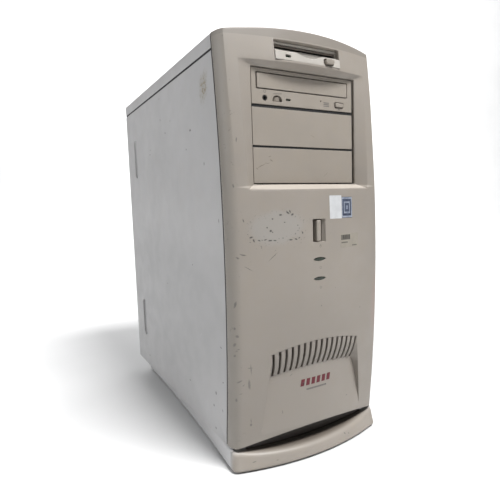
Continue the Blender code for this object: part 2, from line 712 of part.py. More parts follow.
def chassis():
    x, z = (CHASSIS_LEFT, CHASSIS_RIGHT), (CHASSIS_FLOOR + SHEET + GAP, CHASSIS_ROOF)
    node("floor_pan", box(x, (CHASSIS_FRONT, CHASSIS_REAR), (CHASSIS_FLOOR, CHASSIS_FLOOR + SHEET)),
         "zinc_steel")

    front = (CHASSIS_FRONT, CHASSIS_FRONT + SHEET)
    through = (front[0] - 5, front[1] + 5)
    plate = cut(
        box(x, front, z),
        box(around(0, CAGE_HALF), through, (BAY_OPENING_Z[0] - 2, CHASSIS_ROOF - 2)),
        prism(circle(CASE_FAN, FAN_RADIUS + 1, 32), "Y", through),
        box(around(0, 14), through, around(POWER_Z, 16)),
    )
    node("front_plate", plate, "zinc_steel")

    rear = (CHASSIS_REAR - SHEET, CHASSIS_REAR)
    through = (rear[0] - 5, rear[1] + 5)
    holes = [box((SUPPLY_X[0] + 6, SUPPLY_X[1] - 6), through, (SUPPLY_Z[0] + 6, SUPPLY_Z[1] - 6)),
             box(PORTS_X, through, PORTS_Z)]
    for i in range(CARD_SLOTS):
        holes.append(box((BRACKET_X[0] + 8, BRACKET_X[1] - 6), through, around(CARD_Z + i * CARD_PITCH, 6.5)))
    node("rear_panel", cut(box(x, rear, z), joined(holes)), "zinc_steel")

    inside = (front[1] + GAP, rear[0] - GAP)
    node("board_tray", box((CHASSIS_RIGHT - SHEET, CHASSIS_RIGHT), inside, z), "zinc_steel")
    cage_y = (front[1] + GAP, front[1] + CAGE_LENGTH)
    for name, side in (("drive_cage_left", -1), ("drive_cage_right", 1)):
        wall = box(around(side * (CAGE_HALF + 0.8), 0.5), cage_y, (BAY_OPENING_Z[0] - 2, CHASSIS_ROOF - 2))
        node(name, wall, "zinc_steel")
    node("drive_shelf", box(around(0, CAGE_HALF - 0.2), cage_y, (SHELF_Z, SHELF_Z + SHEET)), "zinc_steel")


# ---------------------------------------------------------------- power supply and fans

def rotor(centre, y, radius, blades=7):
    """Hub and twisted blades of an axial fan, turning about Y."""
    cx, cz = centre
    hub = prism(circle(centre, radius * 0.42, 24), "Y", y)
    middle, chord = (y[0] + y[1]) / 2, (y[1] - y[0]) * 0.4
    for i in range(blades):
        start = 2 * math.pi * i / blades
        rings = []
        for r, sweep, pitch in ((0.38, 0.0, 1.0), (0.7, 0.14, 0.9), (0.97, 0.3, 0.75)):
            ring = []
            for along, thick in ((-1, -0.6), (1, -0.6), (1, 0.6), (-1, 0.6)):
                angle = start + sweep + along * 0.26
                depth = middle + along * chord * pitch + thick
                ring.append((cx + radius * r * math.cos(angle), depth, cz + radius * r * math.sin(angle)))
            rings.append(ring)
        union(hub, loft(rings))
    return hub


def fan_frame(centre, y, radius):
    frame = prism(rounded(around(centre[0], radius + 2), around(centre[1], radius + 2), 4), "Y", y)
    return cut(frame, prism(circle(centre, radius, 32), "Y", (y[0] - 5, y[1] + 5)))


def power_supply():
    rear = CHASSIS_REAR - SHEET - GAP
    y = (rear - SUPPLY_LENGTH, rear)
    inner = [(SUPPLY_X[0] + 1, SUPPLY_X[1] - 1), (y[0] + 1, y[1] - 1), (SUPPLY_Z[0] + 1, SUPPLY_Z[1] - 1)]
    case = cut(box(SUPPLY_X, y, SUPPLY_Z), box(*inner))
    through = (rear - 8, rear + 5)
    holes = [prism(circle(SUPPLY_FAN, FAN_RADIUS - 1, 32), "Y", through),
             box(around(INLET[0], 14.2), through, around(INLET[1], 10.2)),
             box(around(SELECTOR[0], 7.2), through, around(SELECTOR[1], 6.2))]
    slots = [box(around(SUPPLY_X[0] + 25 + i * 14, 3), (y[0] - 5, y[0] + 5), (SUPPLY_Z[0] + 15, SUPPLY_Z[1] - 15))
             for i in range(8)]
    node("supply_case", cut(case, joined(holes), joined(slots)), "zinc_steel")

    fan_y = (rear - 27, rear - 1.8)
    node("supply_fan_rotor", rotor(SUPPLY_FAN, (fan_y[0] + 4, fan_y[1] - 3), FAN_RADIUS - 2), "black_plastic",
         (SUPPLY_FAN[0], fan_y[0], SUPPLY_FAN[1]))

    wire, guard_y = 0.8, rear + 0.4 + SHEET + 0.8
    guard = None
    for radius in (38, 29, 20, 11):
        bar = fan_ring(SUPPLY_FAN, guard_y, radius, wire)
        guard = bar if guard is None else union(guard, bar)
    for angle in (45, 135):
        union(guard, spoke(SUPPLY_FAN, guard_y, 44, wire, math.radians(angle)))
    node("supply_fan_guard", guard, "zinc_steel")

    inlet_y = (rear - 12, rear + SHEET + 1.2)
    socket = prism(rounded(around(INLET[0], 12), around(INLET[1], 8), 3), "Y", (rear - 10.5, rear + 10))
    inlet = cut(box(around(INLET[0], 13.8), inlet_y, around(INLET[1], 9.8)), socket)
    node("power_inlet", inlet, "black_plastic")

    selector = cut(box(around(SELECTOR[0], 6.9), (rear - 9, rear + SHEET + 0.6), around(SELECTOR[1], 5.9)),
                   box(around(SELECTOR[0], 5.6), (rear - 4, rear + 10), around(SELECTOR[1], 3.6)))
    node("voltage_selector", selector, "black_plastic")
    slider_y = (rear - 3.6, rear + SHEET + 0.2)
    node("voltage_slider", box(around(SELECTOR[0] - 2.6, 2.6), slider_y, around(SELECTOR[1], 3.2)),
         "white_plastic", (SELECTOR[0], slider_y[0], SELECTOR[1]))


def fan_ring(centre, y, radius, wire, segments=28):
    """A ring of square wire."""
    outline = [(radius - wire, y - wire), (radius + wire, y - wire),
               (radius + wire, y + wire), (radius - wire, y + wire)]
    points, faces = [], []
    for i in range(segments):
        angle = 2 * math.pi * i / segments
        across, up = math.cos(angle), math.sin(angle)
        points += [(centre[0] + r * across, depth, centre[1] + r * up) for r, depth in outline]
        nxt = (i + 1) % segments
        faces += [(4 * i + k, 4 * i + (k + 1) % 4, 4 * nxt + (k + 1) % 4, 4 * nxt + k) for k in range(4)]
    return solid(points, faces)


def spoke(centre, y, reach, wire, angle):
    across = Vector((-math.sin(angle), math.cos(angle))) * wire * 0.9
    along = Vector((math.cos(angle), math.sin(angle))) * reach
    middle = Vector(centre)
    offsets = (along + across, -along + across, -along - across, along - across)
    outline = [tuple(middle + offset) for offset in offsets]
    return prism(outline, "Y", (y - wire * 0.9, y + wire * 0.9))


def case_fan():
    y = (CHASSIS_FRONT + SHEET + GAP, CHASSIS_FRONT + SHEET + GAP + 25)
    node("case_fan_frame", fan_frame(CASE_FAN, y, FAN_RADIUS), "black_plastic")
    node("case_fan_rotor", rotor(CASE_FAN, (y[0] + 3, y[1] - 4), FAN_RADIUS - 2), "grey_plastic",
         (CASE_FAN[0], y[0], CASE_FAN[1]))


# ---------------------------------------------------------------- boards

def boards():
    face = BOARD_X
    node("motherboard", box((face, face + 1.6), (-32, 212), BOARD_Z), "circuit_board")
    node("processor_cartridge", box((face - 62, face - GAP), PROCESSOR_Y, PROCESSOR_Z), "black_plastic")
    sink_x, sink_z = (face - 60, face - 4), (PROCESSOR_Z[0] + 4, PROCESSOR_Z[1] - 4)
    base_y = (PROCESSOR_Y[1] + GAP, PROCESSOR_Y[1] + 3)
    fin_y = (base_y[1] - 0.5, PROCESSOR_Y[1] + 28)
    pitch = (sink_z[1] - sink_z[0] - 8) / (FIN_COUNT - 1)
    fins = [box(sink_x, fin_y, around(sink_z[0] + 4 + i * pitch, 0.9)) for i in range(FIN_COUNT)]
    node("processor_heatsink", union(box(sink_x, base_y, sink_z), *fins), "cast_aluminium")
    memory_z = (PROCESSOR_Z[0] + 2, PROCESSOR_Z[1] - 5)
    node("memory_module", box((face - 32, face - GAP), around(MEMORY_Y, 2.0), memory_z), "circuit_board")

    # one graphics card, in the top slot
    z = CARD_Z + (CARD_SLOTS - 1) * CARD_PITCH
    node("graphics_card", box((face - 92, face - 9), (52, CHASSIS_REAR - 14.5), around(z, 0.8)),
         "circuit_board")
    bracket_y = (CHASSIS_REAR + GAP, CHASSIS_REAR + 1.3)
    bracket = cut(box(BRACKET_X, bracket_y, around(z, 9.2)),
                  box(around(VIDEO_X, 12.7), (CHASSIS_REAR - 5, CHASSIS_REAR + 5), around(z, 5.7)))
    node("graphics_bracket", bracket, "zinc_steel")
    port = dsub(VIDEO_X, z, 12.2, 5.2, (CHASSIS_REAR - 14, CHASSIS_REAR + 5.2), along_x=True)
    node("video_port", port, "zinc_steel")

    covers = CARD_SLOTS - 1
    plate = box(BRACKET_X, bracket_y, (CARD_Z - 9.2, CARD_Z + (covers - 1) * CARD_PITCH + 9.2))
    groove_y = (CHASSIS_REAR + 0.9, CHASSIS_REAR + 5)
    groove_x = (BRACKET_X[0] - 10, BRACKET_X[1] - 6)
    grooves = [box(groove_x, groove_y, around(CARD_Z + (i + 0.5) * CARD_PITCH, 0.7))
               for i in range(covers - 1)]
    node("slot_covers", cut(plate, joined(grooves)), "zinc_steel")


def dsub(x, z, half_wide, half_high, y, along_x):
    """A D-shaped connector shell with a shallow hollow behind its mouth."""
    def outline(wide, high):
        flat = [(-wide, high), (wide, high), (wide - high * 0.35, -high), (-wide + high * 0.35, -high)]
        return [(x + a, z + b) if along_x else (x + b, z + a) for a, b in flat]
    shell = prism(outline(half_wide, half_high), "Y", y)
    return cut(shell, prism(outline(half_wide - 0.9, half_high - 0.9), "Y", (y[1] - 5.5, y[1] + 5)))


def rear_ports():
    x, row = PORT_COLUMN_X, PORT_ROW_Z
    inner = (CHASSIS_REAR - 12, CHASSIS_REAR + 3.2)
    shell = (inner[0], CHASSIS_REAR + 5.6)
    socket = (CHASSIS_REAR - 8, CHASSIS_REAR + 9)
    through = (CHASSIS_REAR - 5, CHASSIS_REAR + 5)
    windows = {"keyboard_mouse": (15.3, 7.8), "usb": (9.3, 7.8), "serial": (6.3, 10.8),
               "parallel": (6.3, 19.9), "network": (8.3, 7.8)}
    holes = [box(around(x, wide), through, around(row[port], high)) for port, (wide, high) in windows.items()]
    plate_y = (CHASSIS_REAR + GAP, CHASSIS_REAR + 1.1)
    plate = box((PORTS_X[0] - 3, PORTS_X[1] + 1), plate_y, (PORTS_Z[0] - 3, PORTS_Z[1] + 3))
    node("port_plate", cut(plate, joined(holes)), "zinc_steel")

    z = row["keyboard_mouse"]
    sockets = [prism(circle((x + side * 7.4, z), 4.6, 16), "Y", socket) for side in (-1, 1)]
    node("keyboard_mouse_ports", cut(box(around(x, 15), inner, around(z, 7.5)), joined(sockets)),
         "black_plastic")
    z = row["usb"]
    sockets = [box(around(x, 6.4), socket, around(z + side * 3.6, 2.6)) for side in (-1, 1)]
    node("usb_ports", cut(box(around(x, 9), inner, around(z, 7.5)), joined(sockets)), "zinc_steel")
    node("serial_port", dsub(x, row["serial"], 9.4, 5.6, shell, along_x=False), "zinc_steel")
    node("parallel_port", dsub(x, row["parallel"], 19.4, 5.6, shell, along_x=False), "grey_plastic")
    z = row["network"]
    network = cut(box(around(x, 8), inner, around(z, 7.5)), box(around(x, 5.9), socket, around(z, 4.2)))
    node("network_port", network, "black_plastic")


def build():
    remove_everything()
    plinth()
    feet()
    chassis()
    front_bezel()
    power_controls()
    blank_cover("blank_cover_lower", BLANK_LOWER_Z)
    blank_cover("blank_cover_upper", BLANK_UPPER_Z)
    disc_drive()
    floppy_drive()
    hard_drive()
    side_panel("left_side_panel", -1, RECESS_Z)
    side_panel("right_side_panel", 1, ())
    thumbscrews()
    top_cover()
    power_supply()
    case_fan()
    boards()
    rear_ports()


build()
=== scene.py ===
"""Desktop computer tower: fine surfaces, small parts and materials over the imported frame.

Helpers work in millimetres in the frame's own axes: -Y is the front, +Z is up.
"""

import json
import math

import bmesh
import bpy
import numpy as np
from mathutils import Matrix, Vector
from mathutils.geometry import delaunay_2d_cdt
from mathutils.kdtree import KDTree


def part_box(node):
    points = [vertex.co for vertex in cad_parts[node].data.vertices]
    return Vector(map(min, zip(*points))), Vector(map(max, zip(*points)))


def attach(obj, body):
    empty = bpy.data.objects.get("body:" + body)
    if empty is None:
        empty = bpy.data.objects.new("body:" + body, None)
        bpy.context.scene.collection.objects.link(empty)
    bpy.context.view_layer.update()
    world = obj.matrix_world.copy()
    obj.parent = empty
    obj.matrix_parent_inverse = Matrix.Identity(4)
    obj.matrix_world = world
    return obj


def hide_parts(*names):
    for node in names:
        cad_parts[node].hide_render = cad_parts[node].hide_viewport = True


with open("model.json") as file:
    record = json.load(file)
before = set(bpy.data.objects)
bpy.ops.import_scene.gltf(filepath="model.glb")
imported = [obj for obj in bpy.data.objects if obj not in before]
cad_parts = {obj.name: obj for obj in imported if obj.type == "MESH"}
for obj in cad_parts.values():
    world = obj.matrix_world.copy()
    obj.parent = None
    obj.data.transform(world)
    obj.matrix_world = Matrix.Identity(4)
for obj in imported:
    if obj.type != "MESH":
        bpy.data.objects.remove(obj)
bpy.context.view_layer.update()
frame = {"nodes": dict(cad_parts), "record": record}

RECORD = frame["record"]
NODES = frame["nodes"]
BODY_OF = {node: body for body, nodes in RECORD["behaviour"]["bodies"].items() for node in nodes}
SLOT_OF = {part["node"]: part["material_slot"] for part in RECORD["subparts"]}
MM = 0.001
ROOT = "chassis"
QUARTER = math.pi / 2


def span(node):
    """A node's lowest and highest corner, in millimetres."""
    low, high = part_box(node)
    return low / MM, high / MM


# ---------------------------------------------------------------- driving sizes, as in the frame

BEZEL_LOW = span("front_bezel")[0]
PANEL_LOW, PANEL_HIGH = span("left_side_panel")
COVER_LOW, COVER_HIGH = span("top_cover")
PLINTH_LOW, PLINTH_HIGH = span("plinth")
FLOPPY_LOW, FLOPPY_HIGH = span("floppy_faceplate")

BODY_HALF, BODY_REAR, BODY_TOP = COVER_HIGH
BODY_BOTTOM = PANEL_LOW.z
FRONT_Y = BEZEL_LOW.y + 0.06
FACE_Y = span("disc_drive_faceplate")[0].y
WAIST_Z = 260.9
PLAN_RADIUS = 413.0
SWELL_RADIUS = 2000.0
SEAM_Y = -190.5
SEAM_GAP = 0.7
CREASE_HALF = 104.4
CROWN = 7.0
BOTTOM_ARCH = 12.0
BAY_OPENING_HALF = 75.7
BAY_OPENING_Z = (339.9, 470.9)
FRAME_TOP_HALF, FRAME_TOP_Z = 90.9, 476.7
FRAME_BOTTOM_HALF, FRAME_BOTTOM_Z = 88.9, 333.3
FLOPPY_HALF = 47.0
FLOPPY_Z = (478.9, 501.4)
POWER_Z = 284.1
LAMP_Z = (249.9, 226.3)
LAMP_HALF = (9.4, 2.3)
SCOOP_TOP_HALF, SCOOP_TOP_Z, SCOOP_TOP_RISE = 65.7, 141.9, 9.0
SCOOP_VENT_HALF, SCOOP_VENT_Z, SCOOP_VENT_RISE = 62.6, 110.9, 5.0
SCOOP_END_HALF, SCOOP_END_Z = 77.0, 43.0
SCOOP_DEPTH = 9.0
SLOT_COUNT = 16
SLOT_HALF = 1.6
RIM_TOP, RIM_BOTTOM = 1.8, 1.2
WRAP_HALF = 122.0  # how far the bezel's skin runs round its sides, measured from the middle


# ---------------------------------------------------------------- outlines

def arch(x, half, rise):
    return rise * max(0.0, 1 - (x / half) ** 2)


def ease(value, low, high):
    t = min(1.0, max(0.0, (value - low) / (high - low)))
    return t * t * (3 - 2 * t)


def around(centre, half):
    return (centre - half, centre + half)


def rounded(x, y, radius, steps=5, run=0.0):
    """A rectangle with round corners, anticlockwise; run is the longest straight step."""
    corners = ((x[1] - radius, y[1] - radius), (x[0] + radius, y[1] - radius),
               (x[0] + radius, y[0] + radius), (x[1] - radius, y[0] + radius))
    outline = []
    for quarter, (cx, cy) in enumerate(corners):
        for step in range(steps + 1):
            angle = (quarter + step / steps) * QUARTER
            outline.append((cx + radius * math.cos(angle), cy + radius * math.sin(angle)))
    return split(outline, run) if run else outline


def split(outline, run):
    """The outline with its long steps cut into shorter ones."""
    made = []
    for a, b in zip(outline, outline[1:] + outline[:1]):
        parts = max(1, math.ceil(math.dist(a, b) / run))
        made += [(a[0] + (b[0] - a[0]) * i / parts, a[1] + (b[1] - a[1]) * i / parts) for i in range(parts)]
    return made


def circle(centre, radius, segments=32):
    turn = 2 * math.pi / segments
    return [(centre[0] + radius * math.cos(i * turn), centre[1] + radius * math.sin(i * turn))
            for i in range(segments)]


def offset(outline, distance):
    """An anticlockwise outline moved outwards."""
    p = np.array(outline)
    to, away = p - np.roll(p, 1, 0), np.roll(p, -1, 0) - p
    to /= np.linalg.norm(to, axis=1)[:, None]
    away /= np.linalg.norm(away, axis=1)[:, None]
    n1 = np.stack([to[:, 1], -to[:, 0]], 1)
    n2 = np.stack([away[:, 1], -away[:, 0]], 1)
    mitre = (n1 + n2) / np.maximum(0.35, 1 + (n1 * n2).sum(1))[:, None]
    return [tuple(q) for q in p + mitre * distance]


def inside(points, loop):
    """Which points lie inside a loop."""
    a = np.array(loop)
    b = np.roll(a, -1, 0)
    px, py = points[:, :1], points[:, 1:]
    above = (a[None, :, 1] > py) != (b[None, :, 1] > py)
    with np.errstate(divide="ignore", invalid="ignore"):
        x = a[None, :, 0] + (py - a[None, :, 1]) * (b[:, 0] - a[:, 0]) / (b[:, 1] - a[:, 1])
    return (above & (px < x)).sum(1) % 2 == 1


def triangulate(outline, holes, spacing, lines=(), fine=()):
    """Flat points and triangles over an outline with holes. fine is (x span, y span, spacing) zones."""
    points, edges = [], []
    for loop, closed in [(l, True) for l in (outline, *holes)] + [(l, False) for l in lines]:
        start = len(points)
        points += [tuple(p) for p in loop]
        edges += [(start + i, start + i + 1) for i in range(len(loop) - 1)]
        if closed:
            edges.append((len(points) - 1, start))
    near = KDTree(len(points))
    for i, p in enumerate(points):
        near.insert((*p, 0), i)
    near.balance()
    low, high = np.min(outline, 0), np.max(outline, 0)
    zones = [((low[0], high[0]), (low[1], high[1]), spacing)] + list(fine)
    grid = []
    for number, (xs, ys, step) in enumerate(zones):
        for row in range(int((ys[1] - ys[0]) / step) + 1):
            y = ys[0] + row * step
            for column in range(int((xs[1] - xs[0]) / step) + 1):
                x = xs[0] + (column + 0.5 * (row % 2)) * step
                if any(z[0][0] <= x <= z[0][1] and z[1][0] <= y <= z[1][1] for z in zones[number + 1:]):
                    continue
                if near.find((x, y, 0))[2] > 0.6 * step:
                    grid.append((x, y))
    if grid:
        grid = np.array(grid)
        keep = inside(grid, outline)
        for hole in holes:
            keep &= ~inside(grid, hole)
        points += [tuple(p) for p in grid[keep]]
    flat, _, faces, *_ = delaunay_2d_cdt([Vector(p) for p in points], edges, [], 0, 1e-5)
    flat = np.array([tuple(p) for p in flat])
    faces = np.array(faces)
    middles = flat[faces].mean(1)
    keep = inside(middles, outline)
    for hole in holes:
        keep &= ~inside(middles, hole)
    return flat, faces[keep]


# ---------------------------------------------------------------- places

def plane(axis, level, outwards=-1):
    """Places on a flat face square to an axis; depth runs into the face."""
    def place(u, v, depth=0.0):
        point = [u, v]
        point.insert(axis, level - outwards * depth)
        return tuple(point)
    return place


def raised(place, height):
    """The same places, moved outwards."""
    return lambda u, v, depth=0.0: place(u, v, depth - height)


def centred(place, centre):
    """The same places, measured from a centre."""
    return lambda u, v, depth=0.0: place(centre[0] + u, centre[1] + v, depth)


def turn_steps(count, turn=QUARTER):
    """Angles from 0 to a turn, both ends included."""
    return [i / count * turn for i in range(count + 1)]


# ---------------------------------------------------------------- meshes

SHARP = 35.0  # edges that turn more than this many degrees stay crisp
WELD = 0.004
EDGE_WIDTH = 0.25


class Skin:
    """Gathers the points and faces of one piece, in millimetres."""

    def __init__(self):
        self.points = []
        self.faces = []

    def ring(self, points):
        start = len(self.points)
        self.points += [tuple(p) for p in points]
        return range(start, len(self.points))

    def loft(self, rings, closed=True, caps=False):
        made = [self.ring(ring) for ring in rings]
        for a, b in zip(made, made[1:]):
            for i in range(len(a) if closed else len(a) - 1):
                j = (i + 1) % len(a)
                self.faces.append((a[i], a[j], b[j], b[i]))
        if caps:
            self.faces += [tuple(made[0]), tuple(made[-1])]

    def sheet(self, place, outline, holes=(), spacing=40.0, lines=(), fine=(), depth=0.0):
        flat, faces = triangulate(outline, holes, spacing, lines, fine)
        start = len(self.points)
        self.points += [place(u, v, depth) for u, v in flat]
        self.faces += [tuple(int(i) + start for i in face) for face in faces]

    def edge(self, place, outline, radius, depth, outwards, steps=4):
        """Rounds an outline's edge, runs its wall down to a depth and returns the loop where the face
        starts. outwards is 1 round a hole and -1 round the piece itself."""
        rings = []
        for angle in turn_steps(steps):
            ring = offset(outline, outwards * radius * (1 - math.sin(angle)))
            rings.append([place(u, v, radius * (1 - math.cos(angle))) for u, v in ring])
        rings.append([place(u, v, depth) for u, v in outline])
        self.loft(rings)
        return offset(outline, outwards * radius)

    def slab(self, place, outline, depth, radius, holes=(), hole_radius=0.3, spacing=40.0):
        """A closed plate with rounded edges, cut right through by its holes."""
        face = self.edge(place, outline, radius, depth, -1)
        loops = [self.edge(place, hole, hole_radius, depth, 1) for hole in holes]
        self.sheet(place, face, loops, spacing)
        self.sheet(place, outline, holes, spacing, depth=depth)

    def turned(self, place, profile, segments=32):
        """A solid of revolution about a place's depth axis, from (radius, depth) points."""
        rings = []
        for radius, depth in profile:
            rings.append([place(u, v, depth) for u, v in circle((0, 0), radius, segments)])
        self.loft(rings, caps=True)

    def block(self, x, y, z, radius):
        """A box with rounded edges."""
        bm = bmesh.new()
        size = Vector((x[1] - x[0], y[1] - y[0], z[1] - z[0]))
        middle = Vector((x[0] + x[1], y[0] + y[1], z[0] + z[1])) / 2
        bmesh.ops.create_cube(bm, size=1, matrix=Matrix.Translation(middle) @ Matrix.Diagonal((*size, 1)))
        radius = min(radius, min(size) * 0.45)
        bmesh.ops.bevel(bm, geom=bm.edges[:], offset=radius, segments=2, profile=0.5, affect="EDGES")
        start = len(self.points)
        bm.verts.index_update()
        self.points += [tuple(v.co) for v in bm.verts]
        self.faces += [tuple(v.index + start for v in f.verts) for f in bm.faces]
        bm.free()

    def build(self, name, material, node=None, body=ROOT, slot=None, thickness=0.0, facing=None, sharp=SHARP):
        """The finished object. thickness is given to an open skin, inwards; facing is the point and
        direction of one known face, which settles which side is out."""
        bm = bmesh.new()
        verts = [bm.verts.new(Vector(p) * MM) for p in self.points]
        for face in self.faces:
            try:
                bm.faces.new([verts[i] for i in face])
            except ValueError:
                continue
        bmesh.ops.remove_doubles(bm, verts=bm.verts[:], dist=WELD * MM)
        bmesh.ops.dissolve_degenerate(bm, edges=bm.edges[:], dist=0.75 * WELD * MM)
        bmesh.ops.recalc_face_normals(bm, faces=bm.faces[:])
        if facing:
            point, direction = Vector(facing[0]) * MM, Vector(facing[1])
            nearest = min(bm.faces, key=lambda f: (f.calc_center_median() - point).length)
            if nearest.normal.dot(direction) < 0:
                bmesh.ops.reverse_faces(bm, faces=bm.faces[:])
        loose = [v for v in bm.verts if not v.link_faces]
        bmesh.ops.delete(bm, geom=loose, context="VERTS")
        mesh = bpy.data.meshes.new(name)
        bm.to_mesh(mesh)
        bm.free()
        obj = place_object(name, mesh, material, node, body, slot)
        if thickness:
            thicken = obj.modifiers.new("thickness", "SOLIDIFY")
            thicken.thickness = thickness * MM
            thicken.offset = -1
        finish_shading(obj, sharp)


def plate(name, look, place, outline, depth, radius, node=None, slot=None, sharp=SHARP, spacing=40.0):
    """One slab as a piece of its own."""
    skin = Skin()
    skin.slab(place, outline, depth, radius, spacing=spacing)
    skin.build(name, look, node, slot=slot, sharp=sharp)


def finish_shading(obj, sharp):
    obj.data.shade_smooth()
    obj.data.set_sharp_from_angle(angle=math.radians(sharp))
    weigh = obj.modifiers.new("weighted_normals", "WEIGHTED_NORMAL")
    weigh.keep_sharp = True


def place_object(name, mesh, material, node, body=ROOT, slot=None):
    """Puts a piece on its body; with a node, the piece stands for that node."""
    obj = bpy.data.objects.new(name, mesh)
    bpy.context.scene.collection.objects.link(obj)
    mesh.materials.clear()
    mesh.materials.append(material)
    if node:
        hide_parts(node)
        body, slot = BODY_OF[node], SLOT_OF[node]
    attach(obj, body)
    return obj


def refine(node, material):
    """A copy of a CAD node with flat faces made whole and its edges rounded, which stands for it."""
    mesh = NODES[node].data.copy()
    bm = bmesh.new()
    bm.from_mesh(mesh)
    bmesh.ops.remove_doubles(bm, verts=bm.verts[:], dist=WELD * MM)
    bmesh.ops.dissolve_limit(bm, angle_limit=math.radians(1.5), verts=bm.verts[:], edges=bm.edges[:])
    edges = [e for e in bm.edges if len(e.link_faces) == 2 and e.calc_face_angle(0) > math.radians(SHARP)]
    if edges:
        bmesh.ops.bevel(bm, geom=edges, offset=EDGE_WIDTH * MM, segments=2, profile=0.5, affect="EDGES",
                        clamp_overlap=True)
    bmesh.ops.recalc_face_normals(bm, faces=bm.faces[:])
    bm.to_mesh(mesh)
    bm.free()
    mesh.name = node + "_fine"
    finish_shading(place_object(node + "_fine", mesh, material, node), SHARP)


# ---------------------------------------------------------------- materials

class Finish:
    """One procedural material. Its textures sit in the object's own space; base is its colour so far."""

    def __init__(self, name, roughness, metallic=0.0, **sockets):
        self.material = bpy.data.materials.new(name)
        self.material.use_nodes = True
        self.nodes = self.material.node_tree.nodes
        self.links = self.material.node_tree.links
        self.shader = self.nodes["Principled BSDF"]
        self.shader.inputs["Roughness"].default_value = roughness
        self.shader.inputs["Metallic"].default_value = metallic
        for socket, value in sockets.items():
            self.shader.inputs[socket.replace("_", " ")].default_value = value
        place = self.nodes.new("ShaderNodeTexCoord")
        self.where = place.outputs["Object"]
        self.facing = place.outputs["Normal"]
        self.base = None

    def feed(self, socket, value):
        if isinstance(value, bpy.types.NodeSocket):
            self.links.new(value, socket)
        else:
            socket.default_value = value

    def noise(self, scale, detail=3.0, rough=0.55, stretch=None, output="Fac"):
        node = self.nodes.new("ShaderNodeTexNoise")
        for socket, value in (("Scale", scale), ("Detail", detail), ("Roughness", rough)):
            node.inputs[socket].default_value = value
        where = self.vector("MULTIPLY", self.where, stretch) if stretch else self.where
        self.links.new(where, node.inputs["Vector"])
        return node.outputs[output]

    def vector(self, operation, a, b=None):
        node = self.nodes.new("ShaderNodeVectorMath")
        node.operation = operation
        self.feed(node.inputs[0], a)
        if b is not None:
            self.feed(node.inputs[1], b)
        return node.outputs["Value" if operation in ("LENGTH", "DOT_PRODUCT") else "Vector"]

    def along(self, direction):
        """How far a point lies along a direction."""
        return self.vector("DOT_PRODUCT", self.where, direction)

    def math(self, operation, a, b=0.0):
        node = self.nodes.new("ShaderNodeMath")
        node.operation = operation
        self.feed(node.inputs[0], a)
        self.feed(node.inputs[1], b)
        return node.outputs[0]

    def times(self, total, *factors):
        for factor in factors:
            total = self.math("MULTIPLY", total, factor)
        return total

    def remap(self, value, low, high, to_low=0.0, to_high=1.0):
        node = self.nodes.new("ShaderNodeMapRange")
        node.interpolation_type = "SMOOTHSTEP"
        self.feed(node.inputs["Value"], value)
        ends = {"From Min": low, "From Max": high, "To Min": to_low, "To Max": to_high}
        for socket, number in ends.items():
            node.inputs[socket].default_value = number
        return node.outputs[0]

    def mix(self, factor, a, b):
        node = self.nodes.new("ShaderNodeMix")
        node.data_type = "RGBA"
        self.feed(node.inputs["Factor"], factor)
        for socket, colour in ((6, a), (7, b)):
            linked = isinstance(colour, bpy.types.NodeSocket)
            self.feed(node.inputs[socket], colour if linked else (*colour, 1.0))
        return node.outputs[2]

    def cover(self, colour, *masks):
        """Lays a colour over the base where all the masks are."""
        self.base = self.mix(self.times(*masks), self.base, colour)

    def mottled(self, dark, light, scale, detail=3, low=0.3, high=0.7):
        self.base = self.mix(self.remap(self.noise(scale, detail), low, high), dark, light)

    def looking(self, direction, low, high=0.85):
        """1 on faces that look a given way."""
        return self.remap(self.vector("DOT_PRODUCT", self.facing, direction), low, high)

    def step(self, axis, value, down=False):
        """1 above a coordinate in millimetres, or below it."""
        picked = self.along([1.0 if i == axis else 0.0 for i in range(3)])
        ends = (1.0, 0.0) if down else (0.0, 1.0)
        return self.remap(picked, (value - 0.15) * MM, (value + 0.15) * MM, *ends)

    def ragged(self, scale=220, amount=0.0022):
        """A vector that makes the edge of a mark uneven."""
        noise = self.noise(scale, 3, 0.6, output="Color")
        centred = self.vector("SUBTRACT", noise, (0.5, 0.5, 0.5))
        return self.vector("MULTIPLY", centred, (amount, amount, amount))

    def mark(self, sight, at, size, angle=0.0, soft=0.5, edge=None):
        """1 inside an ellipse seen along an axis, fading to 0. at and size are millimetres across and up;
        angle turns it, in degrees, and edge is a vector that makes it ragged."""
        middle, scale = [v * MM for v in at], [1 / (v * MM) for v in size]
        middle.insert(sight, 0.0)
        scale.insert(sight, 0.0)
        where = self.where if edge is None else self.vector("ADD", self.where, edge)
        turn = self.nodes.new("ShaderNodeVectorRotate")
        turn.rotation_type = "AXIS_ANGLE"
        turn.inputs["Axis"].default_value = [1.0 if i == sight else 0.0 for i in range(3)]
        turn.inputs["Angle"].default_value = math.radians(angle)
        self.links.new(self.vector("SUBTRACT", where, middle), turn.inputs["Vector"])
        length = self.vector("LENGTH", self.vector("MULTIPLY", turn.outputs[0], scale))
        return self.remap(length, soft, 1.0, 1.0, 0.0)

    def marks(self, sight, places, grow, colour, strength, edge):
        """Paints (across, up, half width, half height, angle) marks, grown by one factor."""
        total = None
        for across, up, wide, tall, angle in places:
            one = self.mark(sight, (across, up), (wide * grow, tall * grow), angle, 0.35, edge)
            total = one if total is None else self.math("MAXIMUM", total, one)
        self.cover(colour, total, strength)

    def bump(self, height, distance, strength=1.0):
        node = self.nodes.new("ShaderNodeBump")
        node.inputs["Strength"].default_value = strength
        node.inputs["Distance"].default_value = distance * MM
        self.links.new(height, node.inputs["Height"])
        chained = self.shader.inputs["Normal"].links
        if chained:
            self.links.new(chained[0].from_socket, node.inputs["Normal"])
        self.links.new(node.outputs[0], self.shader.inputs["Normal"])

    def grain(self):
        self.bump(self.noise(1500, 2, 0.5), 0.03, 0.35)

